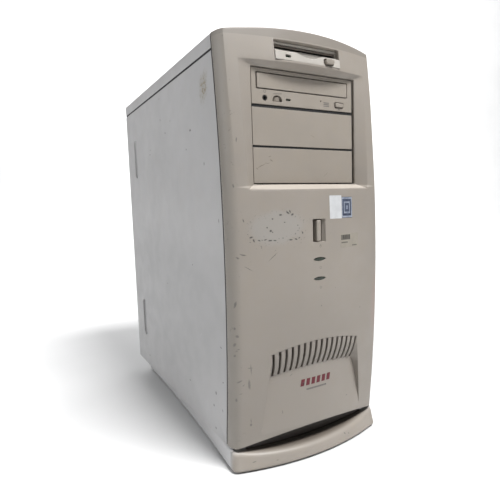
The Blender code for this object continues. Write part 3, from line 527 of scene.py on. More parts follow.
    def uneven(self, pattern, low, high):
        """Roughness that wanders between two values with a pattern."""
        self.links.new(self.remap(pattern, 0.3, 0.7, low, high), self.shader.inputs["Roughness"])

    def done(self):
        self.feed(self.shader.inputs["Base Color"], self.base)
        return self.material


ALONG_X, ALONG_Y = 0, 1  # the axis a mark is seen along
PAINT = (0.430, 0.426, 0.428)
BEZEL = (0.264, 0.237, 0.208)
BLANK = (0.268, 0.239, 0.206)
PALE = (0.395, 0.372, 0.340)
GREY = (0.25, 0.23, 0.21)
BLACK = (0.012, 0.012, 0.013)
SCUFF = (0.09, 0.085, 0.08)


def shade(colour, factor):
    return tuple(c * factor for c in colour)


def aged(name, roughness, colour, patchy=0.06, speckle=0.5, warm=(1.03, 1.0, 0.94)):
    """A moulded or painted finish with soft patches, yellowing and fine dirt."""
    finish = Finish(name, roughness)
    finish.mottled(shade(colour, 1 - patchy), shade(colour, 1 + patchy), 7)
    yellowed = tuple(c * w for c, w in zip(colour, warm))
    finish.cover(yellowed, finish.remap(finish.noise(60, 4), 0.35, 0.75, 0.0, 0.35))
    finish.cover(shade(colour, 0.45), finish.remap(finish.noise(420, 2, 0.5), 0.66, 0.82),
                 finish.remap(finish.noise(25, 2), 0.45, 0.7, 0.0, speckle))
    return finish


# marks on the front, as (x, z, half width, half height, angle)
RESIDUE = [
    (-43, 307, 2.6, 1.1, -35), (-37, 304.5, 1.8, 1.3, 40), (-40, 308, 0.8, 2.0, 20),
    (-52, 304.5, 1.7, 1.1, 0), (-62, 300.5, 1.2, 1.0, 10), (-69, 291, 0.9, 0.8, 0),
    (-64.5, 287, 1.5, 1.3, 40), (-62.6, 285.6, 1.2, 0.7, -40), (-88, 281, 2.2, 1.0, 12),
    (-85, 277, 1.0, 2.0, 25), (-79, 277, 1.7, 0.8, -20), (-71.5, 277.4, 2.2, 0.7, 15),
    (-66, 276, 2.6, 0.9, 0), (-60, 276, 2.0, 0.7, -8), (-40, 275.6, 2.8, 0.8, 5),
    (-33, 275.8, 2.0, 1.0, -20), (-28.5, 277.4, 1.6, 0.8, 30), (-24.2, 283, 1.0, 1.3, 0),
    (-47, 296, 1.0, 0.8, 0), (-30, 292, 0.8, 0.8, 0),
]
SCUFFS = [
    (-98, 262, 4.2, 0.8, -16), (-104, 259, 2.4, 1.0, -30), (-63, 257.5, 8.0, 0.4, 40),
    (-92, 246, 6.0, 0.35, -32), (-107, 206, 1.0, 4.4, -14), (-108, 178, 0.9, 1.8, 0),
    (-106, 169, 2.0, 1.5, -20), (-108, 159, 1.2, 2.6, -18), (-105, 154, 1.6, 0.8, 10),
    (-108, 146, 0.9, 1.8, 0), (-91, 128, 0.8, 7.5, 4), (-92, 130, 3.6, 0.6, -8), (-93, 110, 1.6, 7.0, 6),
    (-104, 115, 3.4, 1.3, 24), (-99.5, 110, 1.8, 0.6, 40), (-103, 100, 2.0, 0.6, 10),
    (-107, 92, 0.9, 2.4, 0), (-90.5, 58.6, 1.4, 1.9, -10), (-90.5, 64, 0.5, 4.0, 0),
    (-49, 65.4, 0.6, 2.6, 0), (-35, 109, 2.6, 0.8, 30), (2.2, 192.6, 1.0, 1.1, 0), (24, 212, 0.6, 0.6, 0),
    (53, 62, 1.7, 0.7, 10), (-105, 338, 0.8, 2.4, 6), (-99, 388, 0.6, 3.0, -8), (70, 180, 0.7, 1.6, 0),
    (-96, 300, 0.7, 2.2, 12),
]
SCRATCHES = [
    (-64, 361.2, 7.5, 0.7, 22), (-56, 364.6, 5.0, 0.55, 6), (-50, 367.5, 3.2, 0.8, -30),
    (-70, 358.2, 1.6, 0.9, -35), (-52, 372, 2.4, 0.6, 12), (30, 352, 6, 0.3, 40), (10, 398, 5, 0.3, -25),
]
PLINTH_NICKS = [
    (45, 13, 2.4, 1.0, -50), (52, 11, 1.6, 0.8, -50), (-88, 12, 3.0, 0.9, 10), (-60, 9, 2.0, 0.7, 0),
]
# marks on the sides, as (y, z, half width, half height, angle)
CHIPS = [
    (-103, 414, 2.6, 1.4, 0), (-86, 392, 1.2, 1.0, 0), (-143, 368, 1.2, 1.8, 0), (74, 411, 1.4, 1.0, 0),
    (-5, 426, 1.6, 1.2, 0), (76, 404, 1.8, 1.0, 0), (15, 448, 1.0, 1.6, 20), (15, 479, 1.2, 0.8, 0),
    (-29, 439, 0.8, 1.2, 0), (-60, 70, 2.0, 0.9, 0), (-150, 84, 1.7, 2.0, 0), (-172, 105, 1.6, 0.8, 20),
    (-170, 148, 2.0, 0.7, -20), (-145, 36, 1.8, 1.4, 0), (-168, 68, 1.0, 1.8, 10), (-142, 65, 1.6, 1.6, 0),
    (145, 47, 2.2, 1.4, 0), (-178, 300, 0.8, 2.6, 0), (20, 200, 1.0, 0.8, 0), (-90, 240, 1.4, 0.7, 30),
]
RUBS = [
    (-30, 330, 18, 0.3, 24), (60, 180, 14, 0.3, -12), (-110, 150, 10, 0.35, 50), (120, 300, 12, 0.3, 8),
]


def bezel_finish():
    """The front moulding: grained plastic with label residue, scuffs and a greyer left edge, painted shade on
    its crown, underside and seam, and a painted highlight on its sill.
    """
    finish = aged("bezel_plastic_aged", 0.46, BEZEL)
    edge = finish.ragged()
    # what a torn label left behind, left of the power button
    patch = finish.mark(ALONG_Y, (-56, 290), (40, 24), 4, 0.6, finish.ragged(90, 0.016))
    finish.cover((0.292, 0.288, 0.276), patch, 0.4)
    rim = finish.math("SUBTRACT", finish.mark(ALONG_Y, (-56, 288), (44, 27), 4, 0.8),
                      finish.mark(ALONG_Y, (-56, 293), (34, 17), 4, 0.55))
    finish.cover(SCUFF, finish.remap(finish.noise(330, 3, 0.6), 0.62, 0.70), rim, 0.85)
    finish.marks(ALONG_Y, RESIDUE, 1.25, shade(SCUFF, 0.6), 0.95, edge)
    finish.marks(ALONG_Y, SCUFFS, 1.2, shade(SCUFF, 0.75), 0.8, edge)
    # painted shade on the crown, a darker lower half, a rosy right side and a painted highlight on the sill
    # under the bays
    # painted shade: the crown's top roll is darkened
    finish.cover(shade(BEZEL, 0.78), finish.step(2, 503.0), 0.8)
    # the lower half of the front is darker
    lower_darkening = finish.mark(ALONG_Y, (0, 110), (190, 150), 0, 0.3, finish.ragged(14, 0.05))
    finish.cover(shade(BEZEL, 0.86), lower_darkening, 0.5)
    finish.cover((0.300, 0.222, 0.200), finish.mark(ALONG_Y, (104, 178), (15, 62), 0, 0.2), 0.5)
    # painted highlight: the sill under the bays is lightened
    finish.cover(shade(BEZEL, 1.55), finish.mark(ALONG_Y, (0, 336.6), (105, 3.4), 0, 0.86))
    # painted shade under the lower edge and on the rear-facing edges in the seam
    under = finish.times(finish.looking((0, 0, -1), 0.3, 0.8), finish.step(2, 44.0, True))
    finish.cover((0.038, 0.030, 0.025), under, 0.96)
    finish.cover((0.020, 0.018, 0.016), finish.looking((0, 1, 0), 0.5, 0.9))
    # the left edge is greyer, with noisy dark scuffs along it
    left = finish.along((-1, 0, 0))
    finish.cover((0.205, 0.198, 0.178), finish.remap(left, 0.094, 0.112, 0.0, 0.3))
    finish.cover(shade(BEZEL, 0.5), finish.remap(finish.noise(160, 4, 0.65), 0.62, 0.72),
                 finish.remap(left, 0.094, 0.106), 0.55)
    finish.uneven(finish.noise(30, 3), 0.40, 0.52)
    finish.grain()
    return finish.done()


def plinth_finish():
    """The base moulding: painted shade sits deep in the gap under the front, where the bezel shades it."""
    finish = aged("plinth_plastic_aged", 0.46, shade(BEZEL, 1.10), 0.07, 0.9)
    x_squared = finish.vector("DOT_PRODUCT", finish.vector("MULTIPLY", finish.where, finish.where),
                              (1 / (FRONT_CURVE * MM), 0, 0))
    back = finish.along((0, 1, 0))
    behind = finish.math("SUBTRACT", back, x_squared)
    start = PLINTH_LOW.y * MM
    under_bezel_shade = finish.times(finish.remap(behind, start + 0.006, start + 0.014),
                         finish.remap(back, -0.186, -0.184, 1.0, 0.0))
    # painted shade: the dish behind the lip and, darker still, its back wall
    finish.cover((0.095, 0.074, 0.058), under_bezel_shade, 0.7)
    finish.cover((0.034, 0.026, 0.021), under_bezel_shade, finish.remap(back, -0.1896, -0.1880), 0.85)
    # the sides behind the front take the case's grey, lightened as painted light where the panel above shades
    # them
    outwards = finish.vector("LENGTH", finish.vector("MULTIPLY", finish.where, (1, 0, 0)))
    finish.cover(shade(PAINT, 1.18), finish.remap(outwards, 0.090, 0.094),
                 finish.remap(back, -0.194, -0.182))
    finish.marks(ALONG_Y, PLINTH_NICKS, 1.0, SCUFF, 0.6, finish.ragged())
    finish.grain()
    return finish.done()


def paint_finish():
    """Baked enamel on steel: faint orange peel, rubs, a stain and chips."""
    finish = aged("case_paint_aged", 0.42, PAINT, 0.05, 0.6, (1.02, 1.0, 0.965))
    streaks = finish.noise(1.0, 4, 0.6, (140.0, 140.0, 6.0))
    finish.cover(shade(PAINT, 0.86), finish.remap(streaks, 0.58, 0.8, 0.0, 0.35))
    # painted shade: a broad darker band low on the side panels
    low_side_shade = finish.mark(ALONG_X, (20, 170), (460, 150), 0, 0.3, finish.ragged(12, 0.05))
    finish.cover(shade(PAINT, 0.81), low_side_shade, 0.9)
    edge = finish.ragged()
    stain = finish.mark(ALONG_X, (-150, 456), (14, 25), -14, 0.2, finish.ragged(60, 0.02))
    finish.cover((0.235, 0.195, 0.120), stain,
                 finish.remap(finish.noise(260, 4, 0.65), 0.46, 0.60, 0.25, 0.95))
    finish.marks(ALONG_X, CHIPS, 1.5, (0.10, 0.095, 0.09), 0.85, edge)
    # painted shade in the seams round the panels: edges facing the gaps are darkened
    front = finish.times(finish.step(1, -168.0, True), finish.looking((0, -1, 0), 0.5))
    panel_top = finish.times(finish.step(2, PANEL_HIGH.z - 4), finish.step(2, PANEL_HIGH.z + 1, True))
    up = finish.times(finish.looking((0, 0, 1), 0.5), panel_top)
    down = finish.times(finish.looking((0, 0, -1), 0.5), finish.step(2, COVER_LOW.z - 1))
    seams = finish.math("MAXIMUM", front, finish.math("MAXIMUM", up, down))
    finish.cover((0.018, 0.017, 0.016), seams, 0.92)
    finish.marks(ALONG_X, RUBS, 1.0, shade(PAINT, 1.3), 0.45, edge)
    finish.uneven(finish.noise(35, 3), 0.36, 0.50)
    finish.bump(finish.noise(900, 2, 0.5), 0.02, 0.4)
    finish.bump(finish.noise(9, 2), 0.5, 0.25)
    return finish.done()


def plastic(name, colour, roughness=0.45):
    finish = aged(name, roughness, colour, 0.05, 0.3)
    finish.uneven(finish.noise(40, 3), roughness - 0.05, roughness + 0.07)
    finish.grain()
    return finish.done()


def blank_finish():
    """The drive covers: as the bezel, with a few thin curved scratches."""
    finish = aged("blank_plastic_aged", 0.48, BLANK, 0.05, 0.4)
    finish.marks(ALONG_Y, SCRATCHES, 1.0, (0.115, 0.09, 0.065), 0.6, finish.ragged(160, 0.003))
    finish.uneven(finish.noise(40, 3), 0.43, 0.55)
    finish.grain()
    return finish.done()


def steel():
    """Zinc-plated sheet: faint spangle and rolling lines."""
    zinc = (0.56, 0.57, 0.57)
    finish = Finish("zinc_steel_sheet", 0.36, 1.0)
    cells = finish.nodes.new("ShaderNodeTexVoronoi")
    cells.inputs["Scale"].default_value = 170
    finish.links.new(finish.where, cells.inputs["Vector"])
    grey = finish.vector("DOT_PRODUCT", cells.outputs["Color"], (0.33, 0.33, 0.33))
    finish.base = finish.mix(finish.remap(grey, 0.2, 0.8), shade(zinc, 0.94), shade(zinc, 1.05))
    finish.cover(shade(zinc, 0.72), finish.remap(finish.noise(14, 4), 0.45, 0.8, 0.0, 0.5))
    lines = finish.noise(1.0, 3, 0.6, (30.0, 30.0, 1400.0))
    finish.uneven(lines, 0.28, 0.46)
    finish.bump(lines, 0.01, 0.3)
    return finish.done()


def aluminium():
    finish = Finish("cast_aluminium_bare", 0.42, 1.0)
    finish.mottled((0.52, 0.52, 0.53), (0.64, 0.64, 0.65), 60, 4)
    finish.bump(finish.noise(1400, 3, 0.6), 0.02, 0.5)
    return finish.done()


def rubber():
    finish = Finish("black_rubber", 0.85)
    finish.mottled((0.018, 0.018, 0.018), (0.045, 0.043, 0.04), 90, low=0.35)
    finish.bump(finish.noise(900, 3), 0.04, 0.6)
    return finish.done()


def lens():
    """Dark tinted windows with a little green in the depth."""
    finish = Finish("lamp_lens", 0.12, Coat_Weight=0.4, Coat_Roughness=0.05)
    finish.mottled((0.008, 0.012, 0.008), (0.02, 0.035, 0.018), 260, 2, 0.35)
    return finish.done()


def board():
    """Green lacquer over faint copper tracks."""
    finish = Finish("circuit_board_lacquer", 0.35, Coat_Weight=0.3, Coat_Roughness=0.2)
    tracks = [finish.remap(finish.noise(1.0, 2, 0.4, stretch), 0.5, 0.53)
              for stretch in ((420.0, 90.0, 420.0), (420.0, 420.0, 90.0))]
    both = finish.math("MAXIMUM", *tracks)
    finish.base = finish.mix(both, (0.012, 0.085, 0.035), (0.03, 0.15, 0.06))
    finish.bump(both, 0.02, 0.4)
    return finish.done()


def flat(name, colour, roughness=0.5, metallic=0.0):
    """A small part's finish: one colour with slight unevenness."""
    finish = Finish(name, roughness, metallic)
    finish.mottled(shade(colour, 0.88), shade(colour, 1.12), 220)
    return finish.done()


def foil():
    """A square of embossed foil: plain nested squares in changing greys and blues."""
    finish = Finish("foil_sticker", 0.3, 0.35)
    (x0, z0), (x1, z1) = SEALS["foil"]
    middle = ((x0 + x1) / 2 * MM, 0.0, (z0 + z1) / 2 * MM)
    away = finish.vector("ABSOLUTE", finish.vector("SUBTRACT", finish.where, middle))
    sides = [finish.vector("DOT_PRODUCT", away, way) for way in ((1.35, 0, 0), (0, 0, 1))]
    reach = finish.math("MAXIMUM", *sides)
    ring = finish.math("SINE", finish.times(reach, 1250.0))
    finish.base = finish.mix(finish.remap(ring, -0.3, 0.9), (0.055, 0.065, 0.10), (0.40, 0.44, 0.52))
    finish.cover((0.12, 0.145, 0.21), finish.remap(finish.noise(150, 3, 0.7), 0.35, 0.7, 0.0, 0.6))
    finish.bump(ring, 0.05, 0.4)
    return finish.done()


def paper(name, colour, printed=(), across=0):
    """A paper label; printed gives the spans of plain blocks of bars, along one axis and up."""
    finish = Finish(name, 0.6)
    finish.mottled(shade(colour, 0.93), shade(colour, 1.05), 120, 4)
    fine, plain = 1300.0, 0.0
    stretch = (plain, fine, 60.0) if across else (fine, plain, 60.0)
    bars = finish.noise(1.0, 1, 0.5, stretch) if printed else None
    for xs, zs, dark in printed:
        sides = [finish.times(finish.step(axis, low), finish.step(axis, high, True))
                 for axis, (low, high) in ((across, xs), (2, zs))]
        finish.cover((0.03, 0.027, 0.024), finish.times(*sides),
                     finish.remap(bars, 0.42, 0.52, dark, dark * 0.7))
    return finish.done()


FRONT_CURVE = 660.0  # the plinth's front bows back by x * x over this
# labels on the front, as ((low x, low z), (high x, high z))
SEALS = {"paper": ((16.9, 297.2), (36.4, 325.2)), "foil": ((36.7, 297.4), (54.9, 323.2)),
         "code": ((33.3, 260.6), (65.7, 278.0))}
# blocks of bars on labels, as (span across, span up, how dark)
CODE_PRINT = [((34.5, 50.5), (270.4, 276.6), 0.95), ((35.0, 46.0), (266.2, 268.0), 0.8),
              ((54.0, 63.0), (262.0, 263.6), 0.7)]
REAR_PRINT = [((-88, -60), (330, 347), 0.9), ((-56, -40), (340, 346), 0.7), ((-56, -44), (331, 335), 0.7),
              ((-88, -52), (322, 325), 0.7)]
SUPPLY_PRINT = [((98, 140), (440, 478), 0.8), ((148, 182), (464, 478), 0.7), ((148, 176), (450, 456), 0.7),
                ((98, 182), (433, 435), 0.7)]

LOOK = {
    "case_paint": paint_finish(),
    "bezel_plastic": bezel_finish(),
    "blank_plastic": blank_finish(),
    "white_plastic": plastic("white_plastic_aged", PALE, 0.40),
    "grey_plastic": plastic("grey_plastic_moulded", GREY, 0.42),
    "black_plastic": plastic("black_plastic_moulded", (0.018, 0.018, 0.019), 0.42),
    "lens": lens(),
    "zinc_steel": steel(),
    "rubber": rubber(),
    "circuit_board": board(),
    "cast_aluminium": aluminium(),
}
PLINTH_LOOK = plinth_finish()
CAP_LOOK = plastic("eject_cap_aged", shade(BLANK, 0.95), 0.45)
# painted shade: the floppy flap's plastic is coloured darker, as it sits in shade in the opening
SHADED_FLAP_LOOK = plastic("flap_plastic_painted_shade", (0.155, 0.132, 0.115), 0.5)
# painted shade: a black that stands in for shadow in gaps, seams and slots
SHADE_BLACK = flat("painted_shade_black", BLACK, 0.7)
GOLD = flat("gold_contacts", (0.75, 0.55, 0.25), 0.3, 1.0)
CHIP = flat("chip_resin", (0.02, 0.02, 0.022), 0.5)
SCREW = flat("screw_steel", (0.50, 0.50, 0.49), 0.32, 1.0)
CAN = flat("capacitor_sleeve", (0.022, 0.030, 0.075), 0.35)
INK = flat("grey_ink", (0.13, 0.12, 0.11), 0.6)


# ---------------------------------------------------------------- front bezel

def front_y(x, z):
    return FRONT_Y + (z - WAIST_Z) ** 2 / (2 * SWELL_RADIUS) + x * x / (2 * PLAN_RADIUS)


def seam_y(z):
    return SEAM_Y + (z - WAIST_Z) ** 2 / (2 * SWELL_RADIUS)


def scoop_middle(x):
    return SCOOP_VENT_Z + arch(x, SCOOP_VENT_HALF, SCOOP_VENT_RISE)


def scoop_top(x):
    return SCOOP_TOP_Z + arch(x, SCOOP_TOP_HALF, SCOOP_TOP_RISE)


def scoop_halves(x, z):
    """Half widths of the scoop's floor and of its mouth at a height, and its depth there."""
    middle, top = scoop_middle(x), scoop_top(x)
    if z >= middle:
        s = (top - z) / (top - middle)
        depth = 0.5 + (SCOOP_DEPTH - 0.5) * s * s
        floor = SCOOP_TOP_HALF + s * (SCOOP_VENT_HALF - SCOOP_TOP_HALF)
    else:
        s = (middle - z) / (middle - SCOOP_END_Z)
        depth = SCOOP_DEPTH * (1 - s)
        floor = SCOOP_VENT_HALF + (SCOOP_END_HALF - SCOOP_VENT_HALF) * math.sqrt(s)
    down = (SCOOP_TOP_Z - z) / (SCOOP_TOP_Z - SCOOP_END_Z)
    mouth = SCOOP_TOP_HALF + down * (SCOOP_END_HALF - SCOOP_TOP_HALF)
    return floor, max(mouth, floor + 0.6), depth


def scoop_depth(x, z):
    if not SCOOP_END_Z < z < scoop_top(x) - 1e-4:
        return 0.0
    floor, mouth, depth = scoop_halves(x, z)
    return depth * min(1.0, max(0.0, (mouth - abs(x)) / (mouth - floor)))


def crease_half(z):
    return CREASE_HALF - 3.0 * (1 - ease(z, 320, 460))


def wrap(u, z):
    """(x, y) on the bezel's skin; u is x over the front and runs on round the sides to the seam."""
    crease = crease_half(z)
    if abs(u) <= crease:
        return u, front_y(u, z) + scoop_depth(u, z)
    t = min(1.0, (abs(u) - crease) / (WRAP_HALF - crease))
    roundness = 1 - 0.45 * ease(z, 320, 460)
    start, end = Vector((crease, front_y(crease, z))), Vector((BODY_HALF, seam_y(z)))
    pull = ((start + end) / 2).lerp(Vector((BODY_HALF - 0.4, start.y + 2.5)), roundness)
    at = start * (1 - t) ** 2 + pull * 2 * t * (1 - t) + end * t * t
    return math.copysign(at.x, u), at.y


def skin_at(u, z, depth=0.0):
    x, y = wrap(u, z)
    return x, y + depth, z


def rim(z_edge, radius, upwards):
    """Rings that roll the skin's top or bottom edge over and run back to the seam."""
    count = 96
    columns = [WRAP_HALF * (2 * i / count - 1) for i in range(count + 1)]
    rings = []
    for angle in turn_steps(4):
        inwards, lift = radius * (1 - math.cos(angle)), upwards * radius * math.sin(angle)
        ring = []
        for u in columns:
            z = z_edge(u)
            x, y = wrap(u, z)
            before, after = wrap(u - 0.05, z), wrap(u + 0.05, z)
            along = (Vector(after) - Vector(before)).normalized()
            ring.append((x - along.y * inwards, y + along.x * inwards, z + lift))
        rings.append(ring)
    last = rings[-1]
    for step in range(1, 5):
        ring = []
        for x, y, z in last:
            back = BODY_TOP + arch(x, CREASE_HALF, 0.4 * CROWN) if upwards > 0 else z
            rear = max(y, seam_y(back))
            ring.append((x, y + (rear - y) * step / 4, z + (back - z) * step / 4))
        rings.append(ring)
    return columns, rings


def slot_outline(number):
    """One vent slot, up its right side and down its left."""
    u = (2 * number / (SLOT_COUNT - 1) - 1) * 0.965
    top, bottom = u * SCOOP_TOP_HALF, u * SCOOP_VENT_HALF
    high, low = scoop_top(top) - 0.75, scoop_middle(bottom) + 0.6
    middle = [(bottom + (top - bottom) * i / 10, low + (high - low) * i / 10) for i in range(11)]
    return [(x + SLOT_HALF, z) for x, z in middle] + [(x - SLOT_HALF, z) for x, z in reversed(middle)]


def lens_outline(z, half_width, half_height, steps=12):
    outline = []
    for sign in (1, -1):
        for i in range(steps):
            t = 1 - 2 * i / steps
            outline.append((sign * t * half_width, z + sign * half_height * (1 - t * t) ** 0.7))
    return outline


def mitre_rings(steps=26):
    """The drive bays' mitred frame: its mouth on the skin, and its inner edge."""
    def loop(corners, rounding):
        made = []
        for a, b in zip(corners, corners[1:] + corners[:1]):
            for i in range(steps):
                t = i / steps
                made.append((a[0] + (b[0] - a[0]) * t, a[1] + (b[1] - a[1]) * t))
        middle = np.mean(corners, 0)
        for corner in range(4):
            at = corner * steps
            towards = middle - np.array(made[at])
            towards /= np.abs(towards).max()
            made[at] = tuple(np.array(made[at]) + towards * rounding)
        return made

    top, bottom = FRAME_TOP_HALF, FRAME_BOTTOM_HALF
    mouth = [(top, FRAME_TOP_Z), (-top, FRAME_TOP_Z), (-bottom, FRAME_BOTTOM_Z), (bottom, FRAME_BOTTOM_Z)]
    side, (low, high) = BAY_OPENING_HALF, BAY_OPENING_Z
    throat = [(side, high), (-side, high), (-side, low), (side, low)]
    return loop(mouth, 0.3), loop(throat, 0.3)


def power_dish(skin):
    """The hollow with finger dishes that leads down to the power button."""
    mouth = rounded(around(0, 9.6), around(POWER_Z, 13.9), 1.0, 4, 2.5)
    throat = [(6.9 / 9.6 * x, POWER_Z + 13.5 / 13.9 * (z - POWER_Z)) for x, z in mouth]
    rings = []
    for step in range(6):
        t = step / 5
        blend = 1 - (1 - t) ** 1.4
        rings.append([skin_at(m[0] + (w[0] - m[0]) * t, m[1] + (w[1] - m[1]) * t, 4.0 * blend)
                      for m, w in zip(mouth, throat)])
    rings.append([skin_at(*w, 12.0) for w in throat])
    skin.loft(rings)
    return mouth


def bay_frame(skin):
    """The mitred hollow round the drive bays."""
    mouth, throat = mitre_rings()
    lip, inner = offset(mouth, 0.7), FACE_Y - 2.0
    rings = [[skin_at(x, z) for x, z in lip]]
    for t, push in ((0.02, 0.10), (0.08, 0.02), (0.5, 0.0), (0.93, 0.0), (0.98, -0.03)):
        ring = []
        for m, w in zip(mouth, throat):
            point = Vector(skin_at(*m)).lerp(Vector((w[0], inner, w[1])), t)
            ring.append((point.x, point.y + push, point.z))
        rings.append(ring)
    rings.append([(x * 0.9985, inner + 0.35, z) for x, z in throat])
    rings.append([(x * 0.997, FACE_Y + 1.5, z) for x, z in throat])
    skin.loft(rings)
    return lip


def scoop_lines():
    """Creases of the scoop: its lower bend, its brow, and its floor's and mouth's sides."""
    lines = [[(x, scoop_middle(x)) for x in [SCOOP_VENT_HALF * i / 40 for i in range(-40, 41)]]]
    across = [SCOOP_TOP_HALF * i / 60 for i in range(-60, 61)]
    lines += [[(x, scoop_top(x) - drop) for x in across] for drop in (0.0, 0.22)]
    heights = [SCOOP_END_Z + (SCOOP_TOP_Z - SCOOP_END_Z) * i / 70 for i in range(1, 70)]
    for side in (-1, 1):
        for which in (0, 1):
            lines.append([(side * scoop_halves(SCOOP_END_HALF, z)[which], z) for z in heights])
    return lines


def top_edge(u):
    return BODY_TOP + arch(u, CREASE_HALF, CROWN) - RIM_TOP


def bottom_edge(u):
    x = wrap(u, BODY_BOTTOM + 6)[0]
    return BODY_BOTTOM + 1.0 + arch(x, 107.5, BOTTOM_ARCH) + RIM_BOTTOM


def front_bezel():
    """The front moulding as one open skin: its openings, then its rims, then the face between them."""
    skin = Skin()
    loops = [skin.edge(skin_at, slot_outline(i), 0.2, 4.0, 1, 2) for i in range(SLOT_COUNT)]
    loops += [skin.edge(skin_at, lens_outline(z, *LAMP_HALF), 0.4, 4.5, 1) for z in LAMP_Z]
    floppy = rounded(around(0, FLOPPY_HALF), FLOPPY_Z, 0.9, 4, 4.0)
    loops.append(skin.edge(skin_at, floppy, 0.5, 12.0, 1))
    loops += [power_dish(skin), bay_frame(skin)]

    columns, top_rings = rim(top_edge, RIM_TOP, 1)
    skin.loft(top_rings, closed=False)
    skin.loft(rim(bottom_edge, RIM_BOTTOM, -1)[1], closed=False)
    levels, low, high = 90, bottom_edge(WRAP_HALF), top_edge(WRAP_HALF)
    sides = [low + (high - low) * i / levels for i in range(1, levels)]
    outline = [(u, bottom_edge(u)) for u in columns] + [(WRAP_HALF, z) for z in sides]
    outline += [(u, top_edge(u)) for u in reversed(columns)] + [(-WRAP_HALF, z) for z in reversed(sides)]
    heights = [low + 3 + (high - low - 6) * i / levels for i in range(levels + 1)]
    lines = [[(side * crease_half(z), z) for z in heights] for side in (-1, 1)] + scoop_lines()
    # zones with a finer grid: the scoop, the power button and lamps, and both sides
    fine = [(around(0, 82), (SCOOP_END_Z, SCOOP_TOP_Z + 10), 1.8), (around(0, 14), (216, 304), 1.6),
            ((-WRAP_HALF, -96), (low, high), 2.2), ((96, WRAP_HALF), (low, high), 2.2)]
    skin.sheet(skin_at, outline, loops, 4.5, lines, fine)
    skin.build("front_bezel_shell", LOOK["bezel_plastic"], "front_bezel", thickness=1.0,
               facing=((40, front_y(40, 200), 200), (0, -1, 0)), sharp=32)


# ---------------------------------------------------------------- drive faceplates and controls

HEADPHONES = (-56.4, 437.8)
VOLUME = (-39.5, 437.9)
DISC_LAMP = (-24.2, 438.0)
PINHOLE = (23.8, 440.5)
DISC_EJECT = (52.4, 437.9)
FLOPPY_SLOT_Z = (493.3, 498.6)
FLOPPY_LEDGE_Z = 490.0
FLOPPY_BUTTON = (29.5, 484.2)
FLOPPY_LAMP = (-29.5, 484.2)
DIP_RADIUS = 40.0
TEETH_STEPS = 4

on_face = plane(1, FACE_Y)


def blank_covers():
    for node in ("blank_cover_lower", "blank_cover_upper"):
        low, high = span(node)
        skin = Skin()
        skin.slab(on_face, rounded((low.x + 0.3, high.x - 1.0), (low.z + 1.1, high.z), 0.6), 2.5, 0.4)
        for side in (-1, 1):
            clip = around(side * (high.x - 3), 1.5)
            skin.block(clip, (FACE_Y + 2.4, high.y), (low.z + 10, high.z - 10), 0.5)
        skin.build(node + "_plate", LOOK["blank_plastic"], node, sharp=40)

    # dark strips behind the gaps between the covers and the drive: painted shade that makes the gaps read
    # black
    shade_strip = Skin()
    lower, upper = span("blank_cover_lower")[1], span("blank_cover_upper")[1]
    for z in ((lower.z + 0.1, lower.z + 2.4), (upper.z + 0.1, upper.z + 3.4)):
        shade_strip.block(around(0, upper.x - 0.4), (FACE_Y + 1.0, FACE_Y + 2.2), z, 0.1)
    shade_strip.build("bay_gap_shade_strips", SHADE_BLACK, slot="black_plastic")


def wheel_window():
    """The volume wheel's opening: flat below, arched above."""
    x, z = VOLUME
    half, low, high = 6.6, z - 3.1, z + 3.9
    top = [(x + half * math.cos(a), low + 1.5 + (high - low - 1.5) * math.sin(a))
           for a in turn_steps(16, math.pi)]
    foot = [(x - half, low + 0.4), (x - half + 0.4, low), (x + half - 0.4, low), (x + half, low + 0.4)]
    return top + foot


def front_cap(node, name, look, trim_x, trim_z, radius, edge, steps=5, depth=None):
    """The rounded face of a button or door, trimmed from its CAD node's box."""
    low, high = span(node)
    across, up = (low.x + trim_x, high.x - trim_x), (low.z + trim_z[0], high.z - trim_z[1])
    outline = rounded(across, up, radius, steps)
    plate(name, look, plane(1, low.y), outline, depth or high.y - low.y, edge, node, sharp=40)


def toothed(middle, radius, teeth, groove):
    """A circle with square teeth."""
    outline = []
    for i in range(teeth * TEETH_STEPS):
        reach = radius - (groove if i % TEETH_STEPS > 1 else 0.0)
        angle = 2 * math.pi * i / (teeth * TEETH_STEPS)
        outline.append((middle[0] + reach * math.cos(angle), middle[1] + reach * math.sin(angle)))
    return outline


